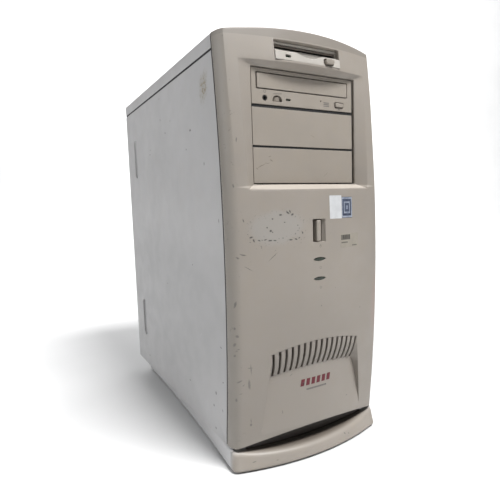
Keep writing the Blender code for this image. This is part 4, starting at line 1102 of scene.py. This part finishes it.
def disc_drive_face():
    """The disc drive's faceplate, tray front, button, volume wheel and printed marks."""
    node = "disc_drive_faceplate"
    low, high = span(node)
    door_low, door_high = span("disc_tray_door")
    holes = [
        rounded((door_low.x - 0.6, door_high.x + 0.6), (door_low.z - 0.6, door_high.z + 0.6), 1.5),
        circle(HEADPHONES, 3.3),
        wheel_window(),
        rounded(around(DISC_LAMP[0], 3.2), around(DISC_LAMP[1], 1.2), 0.5),
        circle(PINHOLE, 0.8, 16),
        rounded(around(DISC_EJECT[0], 7.4), around(DISC_EJECT[1], 3.4), 1.8),
    ]
    skin = Skin()
    outline = rounded((low.x + 0.3, high.x - 1.0), (low.z + 1.9, high.z), 0.6)
    skin.slab(on_face, outline, high.y - low.y, 0.4, holes)
    skin.build("disc_drive_face", LOOK["blank_plastic"], node, sharp=40)

    front_cap("disc_tray_door", "disc_tray_front", LOOK["blank_plastic"], 0.7, (0.7, 0.7), 1.2, 0.4)
    front_cap("disc_eject_button", "disc_eject_cap", LOOK["blank_plastic"], 0.8, (0.7, 0.7), 1.4, 0.6)

    node = "volume_wheel"
    low, high = span(node)
    middle, radius = (low + high) / 2, (high.x - low.x) / 2
    rings = []
    for z, inset in ((low.z, 0.8), (low.z + 0.5, 0.05), (high.z - 0.5, 0.05), (high.z, 0.8)):
        rings.append([(x, y, z) for x, y in toothed((middle.x, middle.y), radius - inset, 36, 0.35)])
    wheel = Skin()
    wheel.loft(rings, caps=True)
    wheel.build("volume_wheel_ridged", LOOK["blank_plastic"], node, sharp=30)

    # plain marks: a ring over the jack, a wedge over the wheel, lines, and a bar and arrow under the button
    ring_at = (HEADPHONES[0], 445.0)
    bar = [(50.2, 431.6), (54.6, 431.6), (54.6, 432.2), (50.2, 432.2)]
    shapes = [[(-45.5, 443.0), (-33.5, 443.6), (-33.5, 444.6), (-45.5, 443.4)], bar,
              [(50.2, 432.7), (54.6, 432.7), (52.4, 434.0)]]
    shapes += [rounded((28.0, 36.4), around(435.2 + 2.0 * i, 0.6), 0.2) for i in range(3)]
    ink, printed = Skin(), raised(on_face, 0.05)
    ink.slab(printed, circle(ring_at, 1.7, 24), 0.1, 0.02, [circle(ring_at, 1.2, 24)], 0.02)
    for shape in shapes:
        ink.slab(printed, shape, 0.1, 0.02)
    ink.build("disc_drive_marks", INK, slot="grey_plastic", sharp=60)


def floppy_front(x, z, depth=0.0):
    """The floppy drive's front: a ledge below, a plane set back above it and a round thumb dip."""
    foot, ledge = FLOPPY_LOW, FLOPPY_LEDGE_Z
    upper = FACE_Y - 1.5
    if z < ledge - 1:
        y = foot.y + 1.2 * (z - foot.z) / (ledge - 1 - foot.z)
    elif z < ledge:
        y = foot.y + 1.2 + 1.5 * (z - ledge + 1) ** 2
    else:
        y = foot.y + 2.7 + (upper - foot.y - 2.7) * min(1.0, (z - ledge) / 1.8)
    dip = DIP_RADIUS - math.hypot(x - 2, z - (ledge + DIP_RADIUS - 4))
    y += (max(y, FACE_Y - 2.6) - y) * ease(dip, -0.9, 0.3)
    return x, y + depth, z


def floppy_drive_face():
    half = FLOPPY_HIGH.x
    slot = rounded(around(0, half - 1.2), FLOPPY_SLOT_Z, 0.6, 3, 1.5)
    button = rounded(around(FLOPPY_BUTTON[0], 7.9), around(FLOPPY_BUTTON[1], 4.2), 3.4, 6, 1.0)
    lamp = rounded(around(FLOPPY_LAMP[0], 3.6), around(FLOPPY_LAMP[1], 1.6), 0.4, 3, 1.0)
    skin = Skin()
    outline = rounded(around(0, half), (FLOPPY_LOW.z, FLOPPY_HIGH.z), 0.8, 4, 1.5)
    face = skin.edge(floppy_front, outline, 0.5, 5.0, -1)
    loops = [skin.edge(floppy_front, hole, radius, depth, 1)
             for hole, radius, depth in ((slot, 0.3, 3.5), (button, 0.4, 8.0), (lamp, 0.25, 7.0))]
    lines = [[(-half + 1.5 + i * (half - 1.5) / 50, z) for i in range(101)]
             for z in (FLOPPY_LEDGE_Z - 1, FLOPPY_LEDGE_Z, FLOPPY_LEDGE_Z + 1.8)]
    skin.sheet(floppy_front, face, loops, 2.0, lines, [((-26, 30), (484.8, 493), 0.6)])
    skin.build("floppy_drive_face", LOOK["white_plastic"], "floppy_faceplate", thickness=0.8,
               facing=((-10, FLOPPY_LOW.y, 482), (0, -1, 0)), sharp=38)
    front_cap("floppy_eject_button", "floppy_eject_cap", CAP_LOOK, 0.8, (0.7, 0.7), 2.4, 0.6, 8)
    # painted shade: the flap takes the darker shaded plastic
    front_cap("floppy_door", "floppy_flap_plate", SHADED_FLAP_LOOK, 0.0, (1.3, 0.0), 0.4, 0.25, depth=0.9)


def power_button():
    node = "power_button"
    low, high = span(node)
    place = plane(1, front_y(0, POWER_Z) + 0.3)
    skin = Skin()
    skin.slab(place, rounded(around(0, 3.2), around(POWER_Z, 12.6), 1.6, 8), 13.6, 1.3)
    skin.slab(raised(place, -9.5), rounded((low.x, high.x), (low.z, high.z), 1.6, 6), 2.5, 0.5)
    skin.build("power_key", LOOK["bezel_plastic"], node, sharp=40)


def lamp_lenses():
    for node in ("power_lamp_lens", "disk_lamp_lens"):
        low, high = span(node)
        middle = (low.z + high.z) / 2

        def place(x, z, depth=0.0):
            bow = 0.35 * (x / high.x) ** 2
            return x, low.y + bow + depth, z

        outline = lens_outline(middle, high.x, high.z - middle)
        plate(node + "_window", LOOK["lens"], place, outline, 3.5, 0.5, node, sharp=40, spacing=2.0)
    for node in ("disc_lamp_lens", "floppy_lamp_lens"):
        refine(node, LOOK["lens"])


def stickers():
    """Labels and small printed marks, laid on the bezel's curved front."""
    def on_front(x, z, depth=0.0):
        return x, front_y(x, z) + depth - 0.04, z

    finishes = {"paper": paper("paper_seal", (0.50, 0.51, 0.52)), "foil": foil(),
                "code": paper("code_label", (0.27, 0.245, 0.205), CODE_PRINT)}
    for name, (low, high) in SEALS.items():
        outline = rounded((low[0], high[0]), (low[1], high[1]), 0.5, 3, 4.0)
        plate("label_" + name, finishes[name], on_front, outline, 0.11, 0.04, slot="bezel_plastic",
              sharp=60, spacing=5.0)
    ink = Skin()
    for z in (265.4, 239.6, 215.6):
        ink.slab(on_front, circle((1.2, z), 1.5, 24), 0.1, 0.02, [circle((1.2, z), 1.1, 24)], 0.02)
    ink.slab(on_front, rounded(around(1.2, 0.2), (265.4, 267.4), 0.1), 0.1, 0.02)
    ink.build("front_marks", INK, slot="bezel_plastic", sharp=60)


def emblem():
    """A plain badge on the scoop's lower panel: leaning bars over a thin line."""
    def on_scoop(x, z, depth=0.0):
        return x, front_y(x, z) + scoop_depth(x, z) + depth - 0.25, z

    bars = Skin()
    foot, head, lean, half = 91.6, 100.0, 1.8, 2.6
    for i in range(6):
        x = -20.0 + 8.0 * i
        outline = [(x + half, foot), (x + half + lean, head), (x - half + lean, head), (x - half, foot)]
        bars.slab(on_scoop, split(outline, 2.0), 0.3, 0.08)
    red = flat("emblem_red", (0.095, 0.006, 0.013), 0.5)
    bars.build("emblem_bars", red, slot="bezel_plastic", sharp=50)
    line = rounded(around(1.5, 15.5), (85.6, 87.6), 0.5, 3, 3.0)
    plate("emblem_line", INK, on_scoop, line, 0.3, 0.06, slot="bezel_plastic", sharp=50)


# ---------------------------------------------------------------- covers and plinth

RECESS_Y = 162.5
RECESS_HALF = (10.0, 34.0)
RECESS_Z = (405.8, 116.0)
RECESS_DEPTH = 3.6
RECESS_FILLET = 2.2
SHEET = 1.2
PLINTH_HALF = PLINTH_HIGH.x
PLINTH_TAPER_Y = -187.5
PLINTH_LIP = 4.6
GRIP_HALF = 104.0
GRIP_FLOOR = 16.8
GRIP_BACK_Y = SEAM_Y + 4.0


def finger_recess(skin, place, z):
    """A shallow pocket for the fingers. Returns the loop where the panel's face starts."""
    wide, tall = RECESS_HALF
    pocket = rounded(around(RECESS_Y, wide - 0.6), around(z, tall - 0.6), wide - 0.7, 10, 4.0)
    loop = skin.edge(place, pocket, 1.2, RECESS_DEPTH - RECESS_FILLET, 1, 6)
    rings = []
    for angle in turn_steps(4):
        deep = RECESS_DEPTH - RECESS_FILLET * (1 - math.sin(angle))
        ring = offset(pocket, -RECESS_FILLET * (1 - math.cos(angle)))
        rings.append([place(y, v, deep) for y, v in ring])
    skin.loft(rings)
    skin.sheet(place, offset(pocket, -RECESS_FILLET), (), 6.0, depth=RECESS_DEPTH)
    return loop


def side_panel(node, side, recesses):
    """A panel with its rear flange and strips of painted shade behind its seams; side is -1 for the left and
    1 for the right.
    """
    low, high = span(node)
    place = plane(0, side * BODY_HALF, side)
    front = [low.z + 1.4 + (high.z - low.z - 2.8) * i / 48 for i in range(49)]
    gap, corner = SEAM_GAP + 1.7, 1.4
    foot, head = low.z + 0.3, high.z - 1.3
    outline = [(seam_y(z) + gap, z) for z in reversed(front)]
    outline += [(seam_y(foot) + gap + corner, foot), (BODY_REAR - corner, foot), (BODY_REAR, foot + corner),
                (BODY_REAR, head - corner), (BODY_REAR - corner, head), (seam_y(head) + gap + corner, head)]
    skin = Skin()
    face = skin.edge(place, outline, 0.9, 4.0, -1, 5)
    skin.sheet(place, face, [finger_recess(skin, place, z) for z in recesses], 24.0)
    skin.build(node + "_skin", LOOK["case_paint"], node, thickness=1.0,
               facing=((side * BODY_HALF, 0, 250), (side, 0, 0)), sharp=40)
    flange = Skin()
    flange.block(sorted((side * (BODY_HALF - 1.3), side * 100.6)), (BODY_REAR - SHEET, BODY_REAR - 0.01),
                 (foot + 1.5, head - 1.5), 0.4)
    flange.build(node + "_flange", LOOK["case_paint"], body=BODY_OF[node], slot="case_paint")

    # dark strips behind the seams, painted shade that makes them read as black gaps: one down the front edge,
    # one under the cover
    seam_shade, rings = Skin(), []
    outer, inner = BODY_HALF - 0.9, BODY_HALF - 3.2
    for i in range(25):
        z = foot + 2 + (head - foot - 4) * i / 24
        near, far = around(seam_y(z) + gap / 2, gap / 2 - 0.2)
        corners = ((outer, near), (outer, far), (inner, far), (inner, near))
        rings.append([(side * x, y, z) for x, y in corners])
    seam_shade.loft(rings, caps=True)
    seam_shade.block(sorted((side * outer, side * inner)), (seam_y(head) + gap, BODY_REAR - 0.4),
               (head + 0.15, COVER_LOW.z + 0.2), 0.2)
    seam_shade.build(node + "_seal", SHADE_BLACK, slot="rubber")


def top_cover():
    """The cover, folded down at both sides; its front edge follows the bezel's seam."""
    low, high = COVER_LOW, COVER_HIGH
    bend, across = 2.2, 24
    run = high.x - bend
    corner = [(-high.x, low.z + 0.05), (-high.x, low.z + 6)]
    for angle in turn_steps(8):
        corner.append((-high.x + bend * (1 - math.cos(angle)), high.z - bend + bend * math.sin(angle)))
    section = corner + [(-run + 2 * run * i / across, high.z) for i in range(1, across)]
    section += [(-x, z) for x, z in reversed(corner)]
    depth = BODY_REAR - (seam_y(high.z) + SEAM_GAP)
    stations = [(0.0, 1.2), (0.35, 0.35), (1.2, 0.0)] + [(depth * i / 12, 0.0) for i in range(1, 12)]
    stations += [(depth - 1.2, 0.0), (depth - 0.35, 0.35), (depth, 1.2)]
    rings = []
    for along, inset in stations:
        ring = []
        for x, z in section:
            start = seam_y(z) + SEAM_GAP + 1.2
            y = start + along * (BODY_REAR - start) / depth
            if abs(x) < run:
                ring.append((x, y, z - inset * (z > high.z - bend)))
            else:
                ring.append((x - math.copysign(inset, x), y, z))
        rings.append(ring)
    skin = Skin()
    skin.loft(rings, closed=False)
    skin.build("top_cover_skin", LOOK["case_paint"], "top_cover", thickness=1.0,
               facing=((5, 0, high.z), (0, 0, 1)), sharp=40)


def plinth_half(y):
    back = max(0.0, y - PLINTH_TAPER_Y)
    return PLINTH_HALF - 0.082 * back + 0.000105 * back * back


def plinth_outline(grow, back):
    """(x, y) round the plinth, clockwise from the middle of its rear edge."""
    corner, turn, sides, across = 9.0, 8.0, 24, 28
    front, rear = PLINTH_LOW.y + back - grow, PLINTH_HIGH.y + grow
    corner_x = PLINTH_HALF + grow - corner
    corner_y = front + corner_x ** 2 / FRONT_CURVE
    right = [(corner_x + corner * math.sin(a), corner_y + corner * (1 - math.cos(a)))
             for a in turn_steps(10)[1:-1]]
    for i in range(sides + 1):
        y = PLINTH_TAPER_Y + (rear - turn - PLINTH_TAPER_Y) * i / sides
        right.append((plinth_half(y) + grow, y))
    edge_x = right[-1][0]
    right += [(edge_x - turn * (1 - math.cos(a)), rear - turn * (1 - math.sin(a)))
              for a in turn_steps(6)[1:]]
    rear_edge = [(-right[-1][0] * (1 - i / 8), rear) for i in range(7, 0, -1)]
    bowed = [corner_x * (1 - i / across) for i in range(2 * across + 1)]
    middle = [(x, front + x * x / FRONT_CURVE) for x in bowed]
    return rear_edge + right[::-1] + middle + [(-x, y) for x, y in right]


def grip_height(x, y):
    """The plinth's top: dished under the bezel, flat behind it."""
    front, middle = -281.0, -201.6
    if y <= middle:
        rise = 0.6 + 4.8 * (y - front) / (middle - front)
    else:
        rise = 5.4 + 3.6 * (y - middle) / (GRIP_BACK_Y - middle)
    dish = min(GRIP_FLOOR + rise * (x / GRIP_HALF) ** 2, PLINTH_HIGH.z)
    return dish + (PLINTH_HIGH.z - dish) * ease(y, GRIP_BACK_Y - 0.8, GRIP_BACK_Y)


def plinth_flare(z):
    """How far the plinth's outline grows and its front moves back at a height."""
    low, high = PLINTH_LOW.z, PLINTH_HIGH.z
    profile = ((-1.0, 0.0, low), (0.0, 0.0, low + 2.0), (-0.5, 2.5, 15.0), (-1.0, 5.0, high))
    for (g0, b0, z0), (g1, b1, z1) in zip(profile, profile[1:]):
        if z <= z1 + 1e-6:
            t = (z - z0) / (z1 - z0)
            return g0 + (g1 - g0) * t, b0 + (b1 - b0) * t
    return profile[-1][:2]


def plinth():
    low, high = PLINTH_LOW.z, PLINTH_HIGH.z
    tops = [grip_height(x, y) for x, y in plinth_outline(*plinth_flare(18.0))]

    def ring_at(share, inset=0.0, rise=0.0):
        """The outline a share of the way up the wall, whose height changes along it."""
        ring = []
        for i, top in enumerate(tops):
            z = low + 0.5 + (top - PLINTH_LIP - low - 0.5) * share + rise
            grow, back = plinth_flare(min(z, high))
            ring.append((*plinth_outline(grow - inset, back)[i], z))
        return ring

    rings = [[(x, y, low) for x, y in plinth_outline(-1.0, 0.0)]]
    rings += [ring_at(share) for share in (0.0, 0.08, 0.16, 0.35, 0.6, 0.8, 1.0)]
    rings += [ring_at(1.0, PLINTH_LIP * (1 - math.cos(a)), PLINTH_LIP * math.sin(a))
              for a in turn_steps(5)[1:]]
    skin = Skin()
    skin.loft(rings)
    edge = [(x, y) for x, y, z in rings[-1]]
    heights = {(round(x, 3), round(y, 3)): z for x, y, z in rings[-1]}

    def place(x, y, depth=0.0):
        z = heights.get((round(x, 3), round(y, 3)))
        return x, y, (grip_height(x, y) if z is None else z) + depth

    lines = [[(x * 3.0, y) for x in range(-35, 36)] for y in (GRIP_BACK_Y - 0.8, GRIP_BACK_Y)]
    skin.sheet(place, edge[::-1] if polygon_area(edge) < 0 else edge, (), 12.0, lines,
               [((-115, 115), (-222, GRIP_BACK_Y + 1), 3.0)])
    skin.build("plinth_shell", PLINTH_LOOK, "plinth", thickness=1.4,
               facing=((0, -215, 8), (0, -1, 0)), sharp=40)


def polygon_area(outline):
    return sum(a[0] * b[1] - b[0] * a[1] for a, b in zip(outline, outline[1:] + outline[:1])) / 2


# ---------------------------------------------------------------- rear

CARD_Z, CARD_PITCH = 191.3, 20.32
CARD_SLOTS = 5
PORT_X = 72.0

on_rear = plane(1, span("rear_panel")[1].y, 1)
on_plates = plane(1, span("slot_covers")[1].y, 1)
on_ports = plane(1, span("port_plate")[1].y, 1)


def cross(centre, reach, half):
    """The outline of a cross recess."""
    outline = []
    for turn in range(4):
        c, s = round(math.cos(turn * QUARTER)), round(math.sin(turn * QUARTER))
        for u, v in ((half, half), (half, reach), (-half, reach)):
            outline.append((centre[0] + c * u - s * v, centre[1] + s * u + c * v))
    return outline


def screw(skin, place, centre, radius=3.0, height=1.5):
    """A pan head with a cross recess, standing on a place's surface."""
    recess, top = cross(centre, radius * 0.55, radius * 0.13), raised(place, height)
    skin.slab(top, circle(centre, radius, 24), height * 0.7, height * 0.45, [recess], 0.05)
    skin.slab(raised(place, height * 0.35), circle(centre, radius * 0.97, 24), height * 0.35, 0.05)


def nut(skin, place, centre):
    """A jack nut beside a connector."""
    skin.slab(raised(place, 3.2), circle(centre, 2.5, 6), 3.2, 0.35, [circle(centre, 1.2, 16)], 0.2)


def contact_pins(skin, place, centres):
    """Round pins that stand in a socket."""
    for centre in centres:
        skin.turned(centred(place, centre), [(0.2, 0.0), (0.45, 0.3), (0.45, 1.4)], 8)


def rear_details():
    """Screws, ribs, jack nuts and contacts, and a plain label."""
    screws, (supply_low, supply_high) = Skin(), span("supply_case")
    for x in (supply_low.x + 7, supply_high.x - 7):
        for z in (supply_low.z + 5, supply_high.z - 5):
            screw(screws, on_rear, (x, z))
    for z in (404.0, 150.0, 60.0):
        screw(screws, on_rear, (-94, z), 2.6)
    for z in (228.0, 404.0):
        screw(screws, on_rear, (PORT_X + 28, z), 2.2, 1.2)
    slots = [CARD_Z - CARD_PITCH * i for i in range(CARD_SLOTS)]
    for z in slots:
        screw(screws, on_plates, (-14.0, z), 3.2)
    screws.build("rear_screws", SCREW, slot="zinc_steel")

    ribs = Skin()
    for z in slots[1:]:
        ribs.slab(raised(on_plates, 0.5), rounded((0, 88), around(z, 3.2), 2.6, 6), 0.5, 0.45)
    ribs.build("slot_cover_ribs", LOOK["zinc_steel"], slot="zinc_steel")

    nuts, inserts, contacts = Skin(), Skin(), Skin()
    for node, rows in (("parallel_port", (13, 12)), ("serial_port", (5, 4))):
        low, high = span(node)
        middle = (low + high) / 2
        for z in (low.z - 3.2, high.z + 3.2):
            nut(nuts, on_ports, (PORT_X, z))
        pins = [(middle.x - 1.4 + 2.8 * row, middle.z + (i - (count - 1) / 2) * 2.76)
                for row, count in enumerate(rows) for i in range(count)]
        contact_pins(contacts, plane(1, high.y - 4.0, 1), pins)
    low, high = span("video_port")
    middle = (low + high) / 2
    for x in (low.x - 3.4, high.x + 3.4):
        nut(nuts, on_plates, (x, CARD_Z))
    pins = [(middle.x + (i - 2) * 2.3 + 0.6 * row, middle.z + (row - 1) * 2.1)
            for row in range(3) for i in range(5)]
    contact_pins(contacts, plane(1, high.y - 4.0, 1), pins)
    nuts.build("port_nuts", SCREW, slot="zinc_steel")

    low, high = span("usb_ports")
    for side in (-1, 1):
        z = (low.z + high.z) / 2 + side * 3.6
        inserts.block(around(PORT_X, 5.0), (high.y - 7.5, high.y - 1.2), around(z + 0.6, 0.7), 0.2)
    inserts.build("socket_tongues", LOOK["white_plastic"], slot="white_plastic")
    low, high = span("network_port")
    middle = (low + high) / 2
    for i in range(8):
        x = middle.x + (i - 3.5) * 1.1
        contacts.block(around(x, 0.22), (high.y - 7.0, high.y - 2.0), around(middle.z + 2.6, 0.2), 0.08)
    low, high = span("power_inlet")
    middle = (low + high) / 2
    for x, z in ((-6.5, -1.5), (6.5, -1.5), (0.0, 2.5)):
        blade = around(middle.x + x, 1.1)
        contacts.block(blade, (high.y - 11.0, high.y - 2.5), around(middle.z + z, 2.2), 0.4)
    contacts.build("rear_contacts", GOLD, slot="zinc_steel")
    stuck_label("rear_label", on_rear, (-92, -36), (318, 352),
                paper("rear_label_paper", (0.50, 0.49, 0.46), REAR_PRINT))


def stuck_label(name, place, across, up, look, slot="zinc_steel", radius=1.5, lift=0.15):
    """A flat paper label on a face, lift millimetres thick."""
    plate(name, look, raised(place, lift), rounded(across, up, radius), lift, 0.04, slot=slot)


def thumbscrews():
    """Knurled heads with a driver slot."""
    for node in ("thumbscrew_lower", "thumbscrew_upper"):
        low, high = span(node)
        middle, radius = (low + high) / 2, (high.x - low.x) / 2
        rings = []
        foot, rim_y = low.y, high.y - 0.6
        for inset, groove, y in ((0.7, 0.0, foot), (0.0, 0.35, foot + 0.6), (0.0, 0.35, rim_y - 0.6),
                                 (0.7, 0.0, rim_y), (1.8, 0.0, rim_y), (2.0, 0.0, rim_y - 0.4)):
            rings.append([(x, y, z) for x, z in toothed((middle.x, middle.z), radius - inset, 30, groove)])
        head, slot = Skin(), Skin()
        head.loft(rings, caps=True)
        head.build(node + "_knurled", SCREW, node, sharp=30)
        # painted shade: the driver slot is a black block set into the head
        slot.block(around(middle.x, 2.5), (high.y - 1.05, high.y - 0.85), around(middle.z, 0.45), 0.05)
        slot.build(node + "_slot", SHADE_BLACK, body=BODY_OF[node], slot="zinc_steel")


# ---------------------------------------------------------------- inside

on_board = plane(0, span("motherboard")[0].x)


def socket_strip(skin, y, z, height, groove=0.9):
    """A long connector on the motherboard with a slot down its middle."""
    wide, tall = y[1] - y[0], z[1] - z[0]
    if wide > tall:
        slit = ((y[0] + 2, y[1] - 2), around((z[0] + z[1]) / 2, groove))
    else:
        slit = (around((y[0] + y[1]) / 2, groove), (z[0] + 2, z[1] - 2))
    skin.slab(raised(on_board, height), rounded(y, z, 0.6, 3), height, 0.35, [rounded(*slit, 0.3, 2)], 0.15)


def board_parts():
    """What is soldered to the motherboard; the places are (y, z) on its face."""
    pale, dark, chips, cans, cell = Skin(), Skin(), Skin(), Skin(), Skin()
    # expansion sockets in line with the rear slots
    for i in range(1, CARD_SLOTS):
        z = CARD_Z - CARD_PITCH * i
        if i < 3:
            socket_strip(pale, (74, 158), around(z, 3.8), 10.5)
        else:
            socket_strip(dark, (64, 200), around(z, 4.2), 10.5)
    socket_strip(dark, (74, 158), around(CARD_Z, 3.6), 8.4)
    # memory sockets beside the module, and the drive and power connectors
    for y in (31.0, 18.0):
        socket_strip(dark, around(y, 3.2), (236, 377), 9.0)
    for z in (150, 214):
        socket_strip(dark, (-22, -14), (z, z + 56), 9.0, 2.6)
    socket_strip(pale, (-16, -6), (318, 372), 12.0, 2.8)
    pale.build("board_sockets_pale", LOOK["white_plastic"], slot="circuit_board")
    dark.build("board_sockets_dark", LOOK["black_plastic"], slot="circuit_board")

    # chips: (y, z, half size along y, half size along z, height)
    for y, z, wide, tall, height in ((104, 220, 15.5, 15.5, 3.0), (30, 205, 15.5, 15.5, 3.0),
                                     (160, 222, 10, 7, 2.4), (8, 130, 9, 9, 2.2),
                                     (40, 160, 7.5, 16, 4.0), (192, 240, 6, 9, 2.4),
                                     (190, 330, 5, 8, 2.2), (12, 184, 4, 6, 1.8)):
        chips.slab(raised(on_board, height), rounded(around(y, wide), around(z, tall), 0.8, 3), height, 0.4)
    for y in range(52, 168, 14):
        for z in (236.5, 380.5):
            chips.slab(raised(on_board, 1.4), rounded(around(y, 2.4), around(z, 1.5), 0.3, 2), 1.4, 0.2)
    chips.build("board_chips", CHIP, slot="circuit_board")

    # capacitors by size: (radius, height) and their places
    for radius, height, places in ((4, 11, ((122, 256), (122, 272), (122, 290))),
                                   (4, 10, ((2, 300), (2, 312))),
                                   (5, 13, ((122, 340), (134, 350), (122, 358))),
                                   (3, 7, ((134, 236), (60, 218), (176, 200), (20, 112), (-8, 282)))):
        profile = [(radius - 0.5, -height), (radius, 0.6 - height), (radius, -0.2)]
        for centre in places:
            cans.turned(centred(on_board, centre), profile, 24)
    cans.build("board_capacitors", CAN, slot="circuit_board")
    cell.turned(centred(on_board, (160, 268)), [(9.4, -4.2), (10, -3.7), (10, -0.2)], 40)
    cell.build("board_cell", SCREW, slot="circuit_board")


def module_and_card():
    chips, edge = Skin(), Skin()
    low, high = span("memory_module")
    for i in range(8):
        z = low.z + 11 + i * (high.z - low.z - 22) / 7
        for y in ((low.y - 1.1, low.y), (high.y, high.y + 1.1)):
            chips.block((low.x + 6, low.x + 25), y, around(z, 5.2), 0.25)
    low, high = span("graphics_card")
    # chips: (x, y, half size along x, half size along y, height)
    for x, y, wide, tall, height in ((48, 120, 15, 15, 3.2), (76, 80, 5, 9, 1.6), (62, 80, 5, 9, 1.6),
                                     (76, 170, 5, 9, 1.6), (62, 170, 5, 9, 1.6), (24, 90, 5, 7, 1.6)):
        chips.block(around(x, wide), around(y, tall), (high.z, high.z + height), 0.3)
        chips.block(around(x, wide * 0.5), around(y, tall * 0.6), (low.z - 1.2, low.z), 0.3)
    chips.build("card_chips", CHIP, slot="circuit_board")
    for i in range(32):
        edge.block((high.x - 5.2, high.x - 0.1), around(78.0 + i * 2.4, 0.8), (high.z, high.z + 0.06), 0.02)
    edge.build("card_contacts", GOLD, slot="circuit_board")


def inner_details():
    """Screws and plain labels on the cage, the drives and the supply."""
    on_cage = plane(0, span("drive_cage_left")[0].x)
    on_supply = plane(0, span("supply_case")[0].x)
    drive_low, drive_high = span("hard_drive")
    on_drive, on_drive_top = plane(0, drive_low.x), plane(2, drive_high.z, 1)
    screws = Skin()
    for y in (-140.0, -60.0):
        for z in (438.0, 462.0, 352.0, 398.0):
            screw(screws, on_cage, (y, z), 2.6, 1.2)
    for y in (-120.0, -70.0):
        screw(screws, on_cage, (y, 488.0), 2.4, 1.2)
    for y in (-120.0, -8.0):
        screw(screws, on_drive, (y, 299.0), 2.4, 1.0)
    screws.build("inner_screws", SCREW, slot="zinc_steel")
    stuck_label("supply_label", on_supply, (92, 188), (428, 486),
                paper("supply_label_paper", (0.56, 0.55, 0.50), SUPPLY_PRINT, 1))
    stuck_label("hard_drive_label", on_drive_top, (drive_low.x + 10, drive_high.x - 10), (-126, -20),
                paper("drive_label_paper", (0.52, 0.52, 0.50)), "cast_aluminium", 2.0, 0.12)


# ---------------------------------------------------------------- assembly

def build():
    front_bezel()
    blank_covers()
    disc_drive_face()
    floppy_drive_face()
    power_button()
    lamp_lenses()
    stickers()
    emblem()
    side_panel("left_side_panel", -1, RECESS_Z)
    side_panel("right_side_panel", 1, ())
    top_cover()
    plinth()
    rear_details()
    thumbscrews()
    board_parts()
    module_and_card()
    inner_details()
    for part in RECORD["subparts"]:
        if not NODES[part["node"]].hide_render:
            refine(part["node"], LOOK[part["material_slot"]])


build()


# ---------------------------------------------------------------- stage

CAMERA_AZIMUTH, CAMERA_DROP, CAMERA_ROLL = -29.01, 5.79, -1.89
CAMERA_PLACE = (-0.32356, -0.6326, 0.3160)
CAMERA_LENS = 31.34


def floor():
    """A pale floor that curves up into a wall behind the object."""
    finish = Finish("studio_floor", 0.55)
    finish.mottled((0.68, 0.68, 0.68), (0.72, 0.72, 0.72), 2.0)
    reach, wall, bend, across = 4200.0, 3200.0, 1500.0, 3
    section = [(-reach, 0.0), (-600.0, 0.0), (600.0, 0.0), (wall - bend, 0.0)]
    section += [(wall - bend + bend * math.sin(a), bend * (1 - math.cos(a))) for a in turn_steps(12)[1:]]
    section.append((wall, reach))
    turn = Matrix.Rotation(math.radians(CAMERA_AZIMUTH), 3, "Z")
    skin = Skin()
    skin.loft([[turn @ Vector((reach * (2 * i / across - 1), along, height)) for i in range(across + 1)]
               for along, height in section], closed=False)
    mesh = bpy.data.meshes.new("studio_floor")
    mesh.from_pydata([Vector(p) * MM for p in skin.points], [], skin.faces)
    mesh.shade_smooth()
    mesh.materials.append(finish.done())
    obj = bpy.data.objects.new("studio_floor", mesh)
    bpy.context.scene.collection.objects.link(obj)


def area_light(name, place, target, size, power):
    lamp = bpy.data.lights.new(name, "AREA")
    lamp.shape = "RECTANGLE"
    lamp.size, lamp.size_y = size
    lamp.energy = power
    obj = bpy.data.objects.new(name, lamp)
    obj.location = place
    obj.rotation_euler = (Vector(target) - Vector(place)).to_track_quat("-Z", "Y").to_euler()
    bpy.context.scene.collection.objects.link(obj)


def camera():
    a, e, r = (math.radians(v) for v in (CAMERA_AZIMUTH, CAMERA_DROP, CAMERA_ROLL))
    ahead = Vector((-math.sin(a) * math.cos(e), math.cos(a) * math.cos(e), -math.sin(e)))
    right = Vector((math.cos(a), math.sin(a), 0))
    up = right.cross(ahead)
    across = math.cos(r) * right + math.sin(r) * up
    over = -math.sin(r) * right + math.cos(r) * up
    data = bpy.data.cameras.new("photo_view")
    data.sensor_width = 36.0
    data.lens = CAMERA_LENS
    data.clip_start = 0.01
    obj = bpy.data.objects.new("photo_view", data)
    turn = Matrix((across, over, -ahead)).transposed()
    obj.matrix_world = Matrix.Translation(CAMERA_PLACE) @ turn.to_4x4()
    bpy.context.scene.collection.objects.link(obj)
    bpy.context.scene.camera = obj


def sky():
    world = bpy.data.worlds.new("studio")
    world.use_nodes = True
    world.node_tree.nodes["Background"].inputs["Color"].default_value = (0.95, 0.97, 1.0, 1.0)
    world.node_tree.nodes["Background"].inputs["Strength"].default_value = 0.205
    bpy.context.scene.world = world


floor()
camera()
sky()
bpy.context.scene.view_settings.view_transform = "Standard"
area_light("key", (0.30, -1.30, 2.6), (0.0, -0.1, 0.25), (0.8, 0.5), 113)
area_light("side", (-2.2, 0.35, 1.3), (-0.1, 0.0, 0.25), (1.4, 1.4), 19.5)
area_light("rim", (1.6, 0.8, 1.8), (0.0, 0.0, 0.25), (1.4, 1.2), 8)
area_light("backdrop", (0.4, 0.9, 2.3), (1.3, 3.0, 1.5), (4.0, 1.0), 120)
